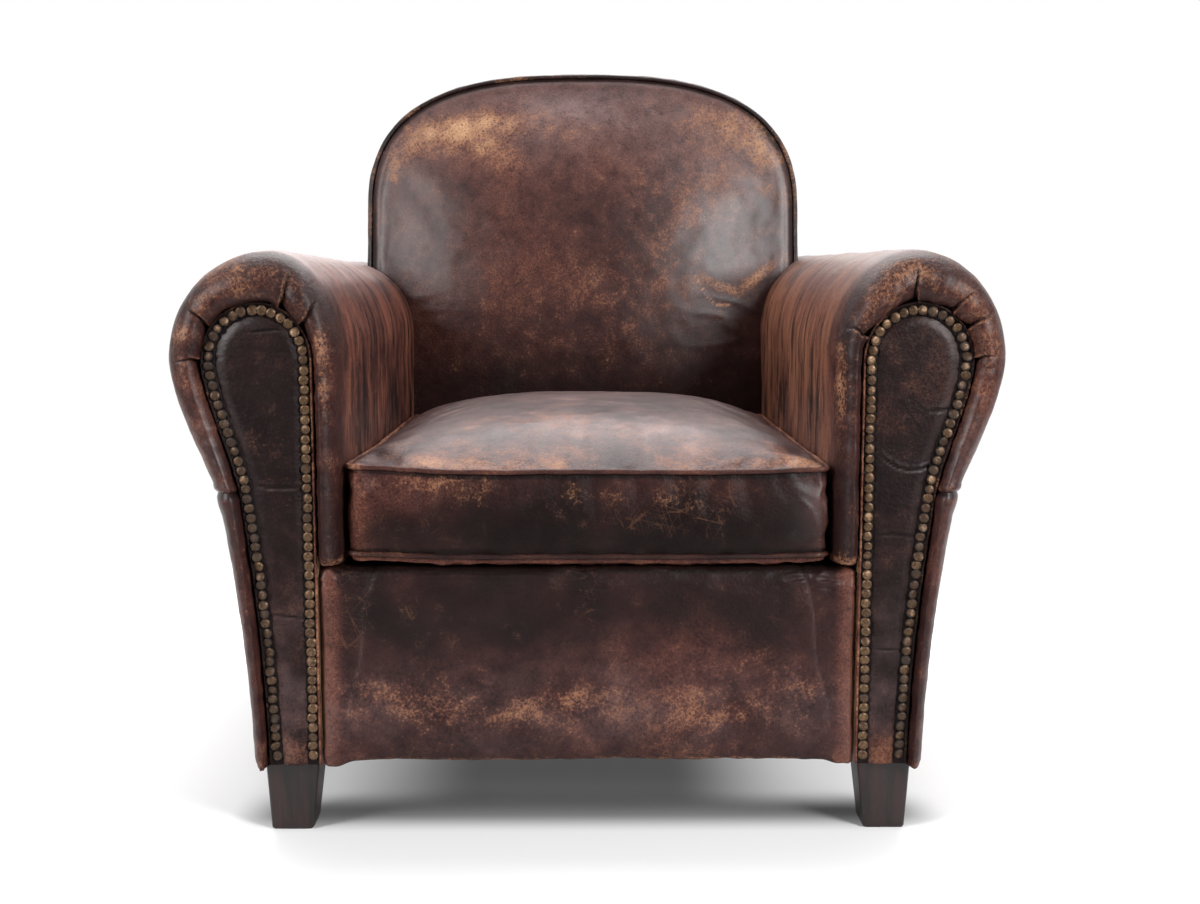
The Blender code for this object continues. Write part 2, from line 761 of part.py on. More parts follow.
def cushion():
    reach = WELT_RADIUS + GAP
    shares = (1.0, 0.93, 0.80, 0.60, 0.32)
    rows, hub = cushion_rings(reach, TOP_WELT_Z + 0.001, CUSHION_CROWN, shares)
    skin("cushion_top_panel", rows, HIDE, loop=True, hub=hub, outside=at(0, 0.3, 2.0))
    drop = CUSHION_BASE - (BOTTOM_WELT_Z - 0.001)
    rows, hub = cushion_rings(reach, BOTTOM_WELT_Z - 0.001, drop, shares)
    skin("cushion_bottom_panel", rows, HIDE, loop=True, hub=hub, outside=at(0, 0.3, -2.0))
    rows = []
    low, high = BOTTOM_WELT_Z + WELT_RADIUS - 0.0001, TOP_WELT_Z - WELT_RADIUS + 0.0001
    for z, inset in ((low, 0.0003), ((low + high) / 2, -0.0022), (high, 0.0003)):
        rows.append([at(x, d, z) for x, d in cushion_outline(inset)])
    skin("cushion_boxing", rows, HIDE, loop=True, outside=at(0, -1.0, 0.33))
    for name, z in (("cushion_top_welt", TOP_WELT_Z), ("cushion_bottom_welt", BOTTOM_WELT_Z)):
        points = [at(x, d, z) for x, d in cushion_outline(0.0)]
        tube(name, points, WELT_RADIUS, HIDE, loop=True)
    under = LEATHER - 0.0005
    inset = reach + 0.0028
    low_rings, base = cushion_rings(inset, BOTTOM_WELT_Z + under, drop, shares)
    top_rings, crown = cushion_rings(inset, TOP_WELT_Z - under, CUSHION_CROWN, shares)
    rings = low_rings[::-1] + top_rings
    loft("cushion_core", rings, FOAM, centre_start=base, centre_end=crown)


# ---------------------------------------------------------------- back
def back_cutters():
    """The space that the back takes out of the arms: its crowned slab, and a block below it."""
    clear = 0.0006
    rings, hub = back_rings(0.0109, clear + 0.0004)
    front = [[(x, min(y, FRONT_Y + welt_depth(z) - 0.0046), z) for x, y, z in ring] for ring in rings]
    outline = back_outline(-clear, BACK_BOTTOM)
    collar = [back_at(x, welt_depth(z) - 0.0046, z) for x, z in outline]
    rear = [back_at(x, 0.95, z) for x, z in outline]
    slab = loft("cutter_back", [rear, collar, *front], WOOD, CUTTERS, centre_end=hub)
    ends = (BACK_SHIFT - BACK_HALF - clear, BACK_SHIFT + BACK_HALF + clear)
    under = box("cutter_under_back", ends, (0.560, 0.95), (-0.02, 0.30), WOOD, CUTTERS)
    return [helper(slab), helper(under)]


def back():
    rings, hub = back_rings(0.0109, 0.0)
    skin("inside_back_cover", rings, HIDE, loop=True, hub=hub, outside=at(0, -3.0, 0.5))
    outline = back_outline(0.0065, BACK_BOTTOM + 0.006)
    points = [back_at(x, welt_depth(z), z) for x, z in outline]
    tube("back_welt", points, BACK_WELT_RADIUS, HIDE)
    rows = []
    for inset, t in ((0.0062, 0.0048), (0.0018, 0.0140), (0.0, 0.0400), (0.0006, None)):
        row = []
        for x, z in back_outline(inset, BACK_BOTTOM + 0.002):
            d = rear_depth(z) - LEATHER - GAP if t is None else welt_depth(z) + t
            row.append(back_at(x, d, z))
        rows.append(row)
    skin("back_border", rows, HIDE, outside=at(0, 0.6, 3.0))
    rings, hub = back_rings(0.0120, -0.0034)
    before = FRAME_BEHIND + POST_THICK + 0.0046
    edge = back_outline(0.0120, BACK_BOTTOM + 0.006)
    rear = rear_ring(edge, before)
    rear_hub = back_at(0.0, rear_depth(BACK_MIDDLE) - before, BACK_MIDDLE)
    loft("back_pad", [rear, *rings], WADDING, centre_start=rear_hub, centre_end=hub)


def outside_back():
    """One flat leather panel that closes the arch of the back and the rear ends of both arms."""
    inset = 0.0005
    flanks = {}
    for side, _ in SIDES:
        crest = arm_crest(rear_depth(ARM_SPRING), side)
        full, _ = arm_side(ARM_SPRING - 0.1, 0.0790, crest=crest)
        edge = side * BACK_SHIFT + BACK_HALF - inset
        profile = [(toed(x, rear_depth(z)), z) for x, z in full[::-1]]
        flank = [(side * x, z) for x, z in profile if x > edge + 0.002]
        (x0, z0), (x1, z1) = profile[len(flank) - 1], profile[len(flank)]
        shoulder = z0 + (z1 - z0) * (x0 - edge) / (x0 - x1)
        flanks[side] = [*flank, (side * edge, shoulder - 0.0005)]
    arched = [(x + BACK_SHIFT, z) for x, z in back_outline(inset, 0.0)[1:-1]]
    ring = flanks[1] + arched + flanks[-1][::-1]
    rings = [[at(x, rear_depth(z) - before, z) for x, z in ring] for before in (LEATHER, 0.0)]
    loft("outside_back_cover", rings, HIDE, smooth=False)


# ---------------------------------------------------------------- arms
def arms():
    margin = LEATHER + GAP
    foot = ARM_FOOT[1] + 0.002
    for side, word in SIDES:
        rows = arm_rows(side, 0.0, 0, 0, SEAM_INDEX, 1, foot, margin)
        cover = skin(f"{word}_arm_cover", rows, HIDE, outside=at(side * 0.332, 0.2, 3.0))
        cut(cover, BACK_CUTTERS)
        rows = arm_rows(side, 0.0, 0, SEAM_INDEX - 1, None, 2, foot, margin)
        for row in rows:
            x, y, z = row[0]
            row[0] = (x, y, z - 2 * GAP)
        skin(f"{word}_outside_arm_panel", rows, HIDE, outside=at(side * 3, 0.3, 0.2))
        arm_pad(side, word, margin + GAP)


def arm_pad(side, word, margin):
    """The stuffing between the leather and the arm's boards: a long inverted U."""
    foot = FRAME_BOTTOM + GAP
    rows = arm_rows(side, LEATHER + 2 * GAP, 3, 0, None, 2, foot, margin)
    rings = []
    for k, row in enumerate(rows):
        full, nail = arm_side(row[0][2], foot, 2)
        inner = []
        for (x, z), (_, y, _) in zip(outline_at(full, nail, 0.0, 0.008 + 2 * GAP), row):
            behind_groove = 0.0058 + 0.0005 * k
            d = rear_depth(z) - margin if k == len(rows) - 1 else max(y - FRONT_Y, behind_groove)
            inner.append(at(toed(x, d, side), d, z))
        rings.append(row + inner[::-1])
    pad = loft(f"{word}_arm_pad", rings, WADDING, band=True)
    cut(pad, BACK_CUTTERS)


# ---------------------------------------------------------------- facing and nails
def nail_line(steps_low=6):
    """The nail line from inner foot to outer foot, and its outward directions."""
    full, nail = arm_side(TRIM_FOOT, TRIM_FOOT, steps_low, arch_steps=14, side_steps=6)
    line = [nail[0]]
    extra = 6
    for k in range(1, extra):
        share = k / extra
        line.append((NAIL_INNER, TRIM_FOOT + (ARM_SPRING - TRIM_FOOT) * share))
    line += nail[1:]
    normals = []
    for k in range(len(line)):
        a, b = line[max(k - 1, 0)], line[min(k + 1, len(line) - 1)]
        run = (b[0] - a[0], b[1] - a[1])
        size = math.hypot(*run)
        normals.append((-run[1] / size, run[0] / size))
    return line, normals


def shifted(line, normals, by):
    return [(x + n[0] * by, z + n[1] * by) for (x, z), n in zip(line, normals)]


def nail_places():
    """Nail centres at an even pitch along the nail line."""
    line, _ = nail_line(steps_low=12)
    lengths = [math.dist(a, b) for a, b in zip(line, line[1:])]
    total = sum(lengths) - 2 * NAIL_PITCH
    count = round(total / NAIL_PITCH)
    places = []
    for k in range(count + 1):
        left = NAIL_PITCH + total * k / count
        for (a, b), length in zip(zip(line, line[1:]), lengths):
            if left <= length:
                places.append(tuple(p + (q - p) * left / length for p, q in zip(a, b)))
                break
            left -= length
    return places


def facings():
    line, normals = nail_line()
    for side, word in SIDES:
        rings = []
        for by, d in (
            (-0.0026, STUMP_FRONT - GAP),
            (-0.0026, TRIM_BACK + 0.0010),
            (-0.0064, TRIM_BACK + 0.0006),
            (-0.0075, -0.0010),
            (-0.0110, -0.0030),
        ):
            shape = shifted(line, normals, by)
            rings.append([at(side * x, d, z) for x, z in shape])
        loft(f"{word}_facing_panel", rings, HIDE_DARK)
        corners = (
            (TRIM_INNER, TRIM_BACK),
            (TRIM_OUTER, TRIM_BACK),
            (TRIM_OUTER, TRIM_FRONT),
            (TRIM_INNER, TRIM_FRONT),
        )
        stretches = []
        for k in range(len(line)):
            ring = []
            for by, d in corners:
                x, z = shifted(line[k : k + 1], normals[k : k + 1], by)[0]
                ring.append(at(side * x, d, z))
            stretches.append(ring)
        trim = loft(f"{word}_nail_trim", stretches, BRASS, smooth=False)
        cut(trim, [nail_heads(side, word)], "UNION")


def nail_heads(side, word):
    """Every nail head of one arm, as low domes that start inside the trim strip."""
    sides = 6
    points, faces = [], []
    base, rim = (TRIM_FRONT + TRIM_BACK) / 2, TRIM_FRONT - NAIL_HEIGHT * 0.35
    for x, z in nail_places():
        first = len(points)
        for radius, d in ((NAIL_RADIUS, base), (NAIL_RADIUS * 0.92, rim)):
            for k in range(sides):
                a = 2 * math.pi * k / sides
                points.append(at(side * (x + radius * math.cos(a)), d, z + radius * math.sin(a)))
        points.append(at(side * x, TRIM_FRONT - NAIL_HEIGHT, z))
        faces.append(tuple(first + k for k in range(sides)))
        for k in range(sides):
            j = (k + 1) % sides
            faces.append((first + k, first + j, first + sides + j, first + sides + k))
            faces.append((first + sides + k, first + sides + j, first + 2 * sides))
    return helper(add_mesh(f"nail_heads_{word}", points, faces, BRASS, CUTTERS, smooth=False))


# ---------------------------------------------------------------- build
clear_scene()
PARTS = collection("club_chair")
CUTTERS = collection("cutters")
SIDES = ((-1, "left"), (1, "right"))

HIDE = material("brown_leather", (0.115, 0.042, 0.026), 0.42)
HIDE_DARK = material("dark_leather", (0.045, 0.026, 0.022), 0.50)
BRASS = material("aged_brass", (0.300, 0.200, 0.105), 0.40, 0.9)
LEG_WOOD = material("stained_wood", (0.040, 0.012, 0.009), 0.45)
WOOD = material("beech", (0.480, 0.310, 0.170), 0.70)
STEEL = material("spring_steel", (0.300, 0.300, 0.310), 0.45, 1.0)
JUTE = material("jute", (0.420, 0.310, 0.180), 0.90)
WADDING = material("horsehair", (0.250, 0.190, 0.130), 0.95)
FOAM = material("foam", (0.720, 0.620, 0.400), 0.95)
CAMBRIC = material("black_cambric", (0.020, 0.020, 0.022), 0.90)

BACK_CUTTERS = back_cutters()
seat_frame()
corner_blocks()
arm_boards()
arm_top_rails()
back_frame()
legs()
seat_webbing()
back_webbing()
seat_springs()
deck()
apron()
dust_cover()
cushion()
back()
outside_back()
arms()
facings()
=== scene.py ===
# %% [markdown]
# # A worn leather club chair
# The chair's solids come packed, in metres, with the floor at z = 0 and the front facing -Y. This lesson dresses
# them: every cover is worked out again as a finer surface with its folds, and every finish is built from nodes.
# "Left" is -X and "right" is +X, as a person in front of the chair sees them.

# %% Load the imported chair
import itertools
import math

import bpy
import numpy as np
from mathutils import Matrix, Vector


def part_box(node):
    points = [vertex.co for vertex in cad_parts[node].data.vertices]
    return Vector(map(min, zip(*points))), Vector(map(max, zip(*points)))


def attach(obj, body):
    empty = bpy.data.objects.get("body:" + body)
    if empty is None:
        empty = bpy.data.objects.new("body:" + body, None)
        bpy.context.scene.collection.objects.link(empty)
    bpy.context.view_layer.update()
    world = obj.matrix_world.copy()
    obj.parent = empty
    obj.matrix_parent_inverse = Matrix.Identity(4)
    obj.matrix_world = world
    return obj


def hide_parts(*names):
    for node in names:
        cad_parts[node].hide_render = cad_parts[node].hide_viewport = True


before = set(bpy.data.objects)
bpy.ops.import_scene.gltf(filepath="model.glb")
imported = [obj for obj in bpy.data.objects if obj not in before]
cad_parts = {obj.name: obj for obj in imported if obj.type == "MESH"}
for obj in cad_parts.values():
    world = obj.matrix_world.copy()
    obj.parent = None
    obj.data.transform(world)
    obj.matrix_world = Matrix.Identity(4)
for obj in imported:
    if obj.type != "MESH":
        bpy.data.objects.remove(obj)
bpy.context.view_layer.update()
print("solids:", len(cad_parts))

# %% [markdown]
# ## Sizes
# The solids were made from these named sizes, so the covers repeat them. Depths are measured backwards from the
# facing plane, the plane that the brass nails lie in. A flat table of names is easier to check than numbers
# scattered through the shapes.

# %% Sizes that the covers share with the solids
GAP, LEATHER, HIDE_WALL = 0.0004, 0.0025, 0.0022  # between pieces, a solid's hide, a shown cover's hide
ARM_SPRING, ARM_INNER, ARM_OUTER = 0.485, 0.2450, 0.4178
ARM_FRONT = {-1: (0.3135, 0.1085), 1: (0.3255, 0.1085)}  # the roll's crest: x, and rise above the springing
ARM_REAR = {-1: (0.3450, 0.0960), 1: (0.3260, 0.1045)}
ARM_REAR_DEPTH = 0.620
NAIL_INNER, NAIL_OUTER, NAIL_CREST = 0.2795, 0.3735, (0.3265, 0.0495)
# The outer side under the springing: a curve's two handles, the seam, the foot, and how straight it is between them
ARM_SIDE = ((ARM_OUTER, 0.450), (0.3885, 0.388)), (0.3740, 0.355), (0.3428, 0.068), 0.25
NAIL_SIDE = ((NAIL_OUTER, 0.452), (0.3460, 0.392)), (0.3395, 0.355), (0.3162, 0.068), 0.22
TOE_IN = 0.0118
ROLL_BOTTOM, INNER_BOTTOM = 0.280, 0.2380
ROLL_STOPS = (  # distance from the nail line, share of the way on to the arm's side, depth
    (0.0000, 0.00, 0.0060), (0.0086, 0.00, 0.0054), (0.0098, 0.01, -0.0012), (0.0084, 0.13, -0.0078),
    (0.0045, 0.33, -0.0112), (0.0015, 0.57, -0.0098), (0.0000, 0.79, -0.0030), (0.0000, 0.94, 0.0110),
    (0.0000, 1.00, 0.0340),
)
TRIM_FOOT, PANEL_FOOT, REAR_FOOT = 0.0735, 0.0705, 0.0790  # lower edges: nail trim, outside arm, outside back
NAIL_RADIUS, NAIL_HEIGHT, NAIL_PITCH = 0.0052, 0.0027, 0.00985
APRON_HALF, DECK_TOP = 0.2700, 0.2735
CUSHION_FRONT, CUSHION_REAR, CUSHION_CORNER, CUSHION_INSET = 0.0030, 0.5420, 0.013, 0.0016
CUSHION_HALF_FRONT, CUSHION_HALF_REAR = 0.2412, 0.2338
BOTTOM_WELT_Z, TOP_WELT_Z = 0.2850, 0.3745
CUSHION_CROWN, CUSHION_BASE, CUSHION_LIP = 0.0450, 0.2769, 0.2812
BACK_SHIFT, BACK_HALF, BACK_TOP, BACK_SPRING = -0.0070, 0.3017, 0.8435, 0.645
BACK_SQUARENESS, BACK_BOTTOM, BACK_CROWN, BACK_MIDDLE = 2.70, 0.2384, 0.052, 0.520
SIDES = ((-1, "left"), (1, "right"))


def welt_depth(z):
    """Depth of the raked plane that the back's welt lies in: a straight line in z."""
    return 0.5285 + 0.160 * z


def rear_depth(z):
    """Depth of the outside back's face: a straight line in z."""
    return 0.6900 + 0.115 * z


FRONT_Y = (0.0100 - rear_depth(BACK_TOP)) / 2
print("facing plane at y =", round(FRONT_Y, 5))

# %% [markdown]
# ## Tools for shapes
# Upholstery is a set of smooth sheets with folds pressed into them. Each sheet here is a grid of points, worked out
# as whole arrays, then moved along its own normals by a relief in metres. Noise gives the small unevenness of hide
# over horsehair; it is made from fixed seeds, so each run gives the same chair.


# %% Numbers that rise, fade and wander
def ease(x, low, high):
    """0 below low, 1 above high, and a smooth S between: t * t * (3 - 2t)."""
    t = np.clip((np.asarray(x, float) - low) / (high - low), 0, 1)
    return t * t * (3 - 2 * t)


def hill(x, middle, width):
    """A bell that is 1 in the middle and fades over width: exp(-((x - middle) / width) squared)."""
    return np.exp(-(((x - middle) / width) ** 2))


def spots(x, z, *rows):
    """Soft oval spots added up: each row is an amount, a place, two half-sizes and perhaps a turn in degrees."""
    total = 0
    for amount, x0, z0, long, short, *turn in rows:
        angle = math.radians(sum(turn))
        c, s, dx, dz = math.cos(angle), math.sin(angle), x - x0, z - z0
        total = total + amount * np.exp(-(((dx * c + dz * s) / long) ** 2) - (((dz * c - dx * s) / short) ** 2))
    return total


def noise(points, scale, seed):
    """Smooth noise, about -1 to 1: a random slope at each corner of a lattice, blended across the cell."""
    slopes = np.random.default_rng(seed).normal(size=(4096, 3))
    slopes /= np.linalg.norm(slopes, axis=1, keepdims=True)
    p = np.asarray(points, float) * scale
    cell = np.floor(p).astype(np.int64)
    f = p - cell
    blend = f**3 * (f * (f * 6 - 15) + 10)
    total = np.zeros(p.shape[:-1])
    for corner in itertools.product((0, 1), repeat=3):
        c = cell + np.array(corner)
        index = (c[..., 0] * 73856093 ^ c[..., 1] * 19349663 ^ c[..., 2] * 83492791) & 4095
        weight = np.where(np.array(corner) == 1, blend, 1 - blend).prod(-1)
        total += weight * ((f - np.array(corner)) * slopes[index]).sum(-1)
    return total * 1.6


def rough(points, scale, seed, layers=3):
    """Noise with finer, weaker noise on top: each layer twice as fine and half as strong."""
    return sum(noise(points, scale * 2**k, seed + k) * 0.5**k for k in range(layers))


def wrinkles(points, scale, seed, less=0.0):
    """Narrow ridges where smooth noise crosses zero: (1 - 3 |noise|) squared, not below 0; less lowers them all."""
    return np.clip(1 - 3 * np.abs(noise(points, scale, seed)), 0, 1) ** 2 - less


def through(stops, values, places):
    """A smooth curve through values at stops: cubic pieces whose slope at a stop follows its neighbours."""
    stops, values, places = (np.asarray(a, float) for a in (stops, values, places))
    slope = np.gradient(values, stops, axis=0)
    k = np.clip(np.searchsorted(stops, places, side="right") - 1, 0, len(stops) - 2)
    span = (stops[k + 1] - stops[k])[:, None]
    t = (places - stops[k])[:, None] / span
    return (
        values[k] * (1 + 2 * t) * (1 - t) ** 2
        + slope[k] * span * t * (1 - t) ** 2
        + values[k + 1] * t * t * (3 - 2 * t)
        + slope[k + 1] * span * t * t * (t - 1)
    )


def spread(density, low, high, count):
    """count places from low to high, closer together where density is high: equal steps of its running sum."""
    fine = np.linspace(low, high, 4000)
    total = np.concatenate([[0], np.cumsum(density(fine))[:-1]])
    return np.interp(np.linspace(0, total[-1], count), total, fine)


print("ease at the middle:", float(ease(0.5, 0, 1)))


# %% Points, grids and their normals
def at(x, depth, z):
    """Points of the chair from x, depth behind the facing plane, and height."""
    x, depth, z = np.broadcast_arrays(np.asarray(x, float), np.asarray(depth, float), np.asarray(z, float))
    return np.stack([x, FRONT_Y + depth, z], axis=-1)


def unit(vectors):
    """Vectors made one long."""
    return vectors / (np.linalg.norm(vectors, axis=-1, keepdims=True) + 1e-12)


def raised(points, height, inside):
    """A grid moved by height along its normals, the cross product of its two directions, away from inside."""
    n = unit(np.cross(np.gradient(points, axis=0), np.gradient(points, axis=1)))
    outwards = np.sign(((points - np.asarray(inside)) * n).sum(-1).mean())
    return points + n * np.asarray(height)[..., None] * outwards


def quads(rows, columns, wrap=False):
    """Four-cornered faces of a grid of rows by columns; wrap joins the last column to the first."""
    r, c = np.meshgrid(np.arange(rows - 1), np.arange(columns if wrap else columns - 1), indexing="ij")
    d = (c + 1) % columns
    return np.stack([r * columns + c, r * columns + d, (r + 1) * columns + d, (r + 1) * columns + c], -1).reshape(-1, 4)


def tube(rows, columns):
    """Faces of a closed tube: its rings' sides, and a face at both ends."""
    last = (rows - 1) * columns
    return quads(rows, columns, wrap=True).tolist() + [list(range(columns))[::-1], list(range(last, last + columns))]


def lengths(path):
    """Distance along a path to each of its points."""
    return np.concatenate([[0], np.cumsum(np.linalg.norm(np.diff(path, axis=0), axis=1))])


def evenly(path, count, endpoint=True):
    """count points along a path at even distances."""
    run = lengths(path)
    places = np.linspace(0, run[-1], count, endpoint=endpoint)
    return [np.interp(places, run, column) for column in path.T]


def far_from(x, z, line):
    """Distance from each point to the nearest point of a line, both as x and z."""
    square = (x.reshape(-1, 1) - line[None, :, 0]) ** 2 + (z.reshape(-1, 1) - line[None, :, 1]) ** 2
    return np.sqrt(square.min(1)).reshape(x.shape)


# %% [markdown]
# ## One way to make every piece
# A piece is points and faces, with the painted amounts that its finish reads as attributes. The faces are turned
# outwards by comparing them with a point inside. A Solidify modifier gives a cover the thickness of its hide, which
# closes it. Each piece rides on the chair's one body and hides the solids it stands for.


# %% Make a piece from points and faces
def new_object(name, data):
    """An object in the scene."""
    made = bpy.data.objects.new(name, data)
    bpy.context.scene.collection.objects.link(made)
    return made


def new_mesh(name, points, faces):
    """A mesh of points and faces."""
    mesh = bpy.data.meshes.new(name)
    faces = faces if isinstance(faces, list) else faces.tolist()
    mesh.from_pydata(np.asarray(points, float).reshape(-1, 3).tolist(), [], faces)
    mesh.update()
    return mesh


def read(items, key, width=1, kind=float):
    """One property of all items of a mesh, as an array."""
    values = np.zeros(len(items) * width, kind)
    items.foreach_get(key, values)
    return values.reshape(-1, width) if width > 1 else values


def clipped(most=1.3, **amounts):
    """Painted amounts kept between 0 and a limit."""
    return {key: np.clip(value, 0, most) for key, value in amounts.items()}


def make_piece(name, points, finish, stands_for=(), inside=None, faces=None, wall=0.0, paint=None, uv=None):
    """A mesh object with outward faces, painted attributes and, if wall is given, a wall behind its face. finish is
    a material and a slot's name; the slot's name is not used. Points without faces are a grid's."""
    mesh = new_mesh(name, points, quads(*points.shape[:2]) if faces is None else faces)
    if inside is not None:
        facing = ((read(mesh.polygons, "center", 3) - np.asarray(inside)) * read(mesh.polygons, "normal", 3)).sum(1)
        if (facing * read(mesh.polygons, "area")).sum() < 0:
            mesh.flip_normals()
    count = len(mesh.vertices)
    for key, amount in (paint or {}).items():
        amount = np.full(count, amount) if np.ndim(amount) == 0 else np.asarray(amount).reshape(-1)
        mesh.attributes.new(key, "FLOAT", "POINT").data.foreach_set("value", amount.astype(np.float32))
    if uv is not None:
        corner = read(mesh.loops, "vertex_index", kind=np.int32)
        layer = mesh.uv_layers.new(name="surface")
        layer.data.foreach_set("uv", np.asarray(uv, np.float32).reshape(-1, 2)[corner].ravel())
    mesh.materials.append(finish[0])
    mesh.shade_smooth()
    piece = new_object(name, mesh)
    if wall:
        solidify = piece.modifiers.new("wall", "SOLIDIFY")
        solidify.thickness, solidify.offset = wall, -1.0
    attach(piece, "root")
    if stands_for:
        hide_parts(*stands_for)
    return piece


CORD_SIDES = 12


def make_cord(name, path, radius, flat, finish, stands_for, paint, closed=False):
    """A round welt: at each point of its path a circle, in the plane of the direction flat and the path's side."""
    run = unit(np.roll(path, -1, 0) - np.roll(path, 1, 0) if closed else np.gradient(path, axis=0))
    up = np.broadcast_to(np.asarray(flat, float), path.shape)
    up = unit(up - run * (up * run).sum(1, keepdims=True))
    a = np.linspace(0, 2 * math.pi, CORD_SIDES, endpoint=False)[None, :, None]
    circle = up[:, None] * np.cos(a) + np.cross(run, up)[:, None] * np.sin(a)
    points = path[:, None] + radius[:, None, None] * circle
    n = len(path)
    faces = quads(n + 1, CORD_SIDES, wrap=True) % (n * CORD_SIDES) if closed else tube(n, CORD_SIDES)
    paint = {key: np.repeat(np.broadcast_to(amount, (n,)), CORD_SIDES) for key, amount in paint.items()}
    piece = make_piece(name, points, finish, stands_for, faces=faces, paint=paint)
    if np.array(piece.data.polygons[0].normal) @ (points[0, 0] + points[0, 1] - 2 * path[0]) < 0:
        piece.data.flip_normals()


# %% [markdown]
# ## Tools for finishes
# A finish is a tree of nodes. Written out node by node it is hard to follow, so a small class wraps an output and
# lets sums and products be written as Python: `1 - mask` adds a Math node. Anything else comes from one method that
# takes a node's type, its settings and the values or wires of its sockets.


# %% Wires and the bench that joins them
class Wire:
    """One output of a node; arithmetic with it adds Math nodes."""

    def __init__(self, bench, socket):
        self.bench, self.socket = bench, socket

    def sum(self, operation, first, second):
        return self.bench.add("ShaderNodeMath", {"operation": operation}, {0: first, 1: second})

    def __add__(self, other):
        return self.sum("ADD", self, other)

    def __sub__(self, other):
        return self.sum("SUBTRACT", self, other)

    def __rsub__(self, other):
        return self.sum("SUBTRACT", other, self)

    def __mul__(self, other):
        return self.sum("MULTIPLY", self, other)

    def over(self, other):
        """The larger of two wires."""
        return self.sum("MAXIMUM", self, other)

    __radd__ = __add__
    __rmul__ = __mul__


class Bench:
    """A node tree under construction, a material's or a world's, with the nodes that most finishes need."""

    def __init__(self, owner, **constants):
        self.owner = owner
        owner.use_nodes = True
        self.tree = owner.node_tree
        self.end = self.tree.nodes.get("Principled BSDF") or self.tree.nodes["World Output"]
        for socket, value in constants.items():
            self.end.inputs[socket.replace("_", " ")].default_value = value

    def add(self, kind, settings=None, inputs=None, out=0):
        """A node of any kind: settings first, then its sockets, then the wire of one output."""
        node = self.tree.nodes.new(kind)
        for key, value in (settings or {}).items():
            setattr(node, key, value)
        for key, value in (inputs or {}).items():
            if isinstance(value, Wire):
                self.tree.links.new(value.socket, node.inputs[key])
            else:
                node.inputs[key].default_value = value
        return Wire(self, node.outputs[out])

    def join(self, wire, socket):
        self.tree.links.new(wire.socket, self.end.inputs[socket])

    def amount(self, name):
        """A painted amount, read from the piece's attribute; 0 where it has none."""
        return self.add("ShaderNodeAttribute", {"attribute_name": name}, out="Fac")

    def place(self, kind="Object"):
        return self.add("ShaderNodeTexCoord", out=kind)

    def noise(self, where, scale, detail=3.0, coarse=0.55, out=0):
        inputs = {"Vector": where, "Scale": scale, "Detail": detail, "Roughness": coarse}
        return self.add("ShaderNodeTexNoise", {}, inputs, out)

    def swing(self, where, scale, detail, coarse, by):
        """Noise about zero, made larger by a factor."""
        return (self.noise(where, scale, detail, coarse) - 0.5) * by

    def strokes(self, wire, narrow):
        """1 along the lines where a noise crosses its middle, falling off at both sides."""
        return 1 - self.size(wire - 0.5) * narrow

    def cells(self, where, scale, feature="F1"):
        return self.add("ShaderNodeTexVoronoi", {"feature": feature}, {"Vector": where, "Scale": scale})

    def band(self, wire, low, high, dark=0.0, bright=1.0):
        """dark to bright as the wire goes from low to high, with a smooth S between; low may be the larger."""
        inputs = {"Value": wire, "From Min": low, "From Max": high, "To Min": dark, "To Max": bright}
        return self.add("ShaderNodeMapRange", {"interpolation_type": "SMOOTHSTEP"}, inputs)

    def mix(self, first, second, share):
        """Colours mixed by a share; a colour may be three numbers."""
        inputs = {0: share}
        for key, colour in ((6, first), (7, second)):
            inputs[key] = colour if isinstance(colour, Wire) else (*colour, 1.0)
        return self.add("ShaderNodeMix", {"data_type": "RGBA"}, inputs, 2)

    def size(self, wire):
        """A wire without its sign."""
        return self.add("ShaderNodeMath", {"operation": "ABSOLUTE"}, {0: wire})

    def scaled(self, where, *scale):
        """Places multiplied along each axis."""
        return self.add("ShaderNodeMapping", {}, {"Vector": where, "Scale": scale})

    def drawn(self, where, turn, longer):
        """Places shrunk along one turned axis, so that a pattern on them is drawn out along it."""
        inputs = {"Vector": where, "Rotation": turn, "Scale": (longer, 1.0, 1.0)}
        return self.add("ShaderNodeMapping", {"vector_type": "TEXTURE"}, inputs)

    def bent(self, where, *pushes):
        """Places pushed about by coloured noise, each time with a scale and a distance, so that a pattern on them
        loses its straightness."""
        for scale, by in pushes:
            push = self.noise(where, scale, 2.0, out=1)
            where = self.add("ShaderNodeVectorMath", {"operation": "MULTIPLY_ADD"}, {0: push, 1: (by,) * 3, 2: where})
        return where

    def relief(self, height, depth, strength=1.0):
        """A Bump node on the shader's normal, for relief too fine for the mesh."""
        inputs = {"Height": height, "Distance": depth, "Strength": strength}
        self.join(self.add("ShaderNodeBump", {}, inputs), "Normal")


def new_finish(name, **constants):
    """A bench for a new material, with its shader's constants."""
    return Bench(bpy.data.materials.new(name), **constants)
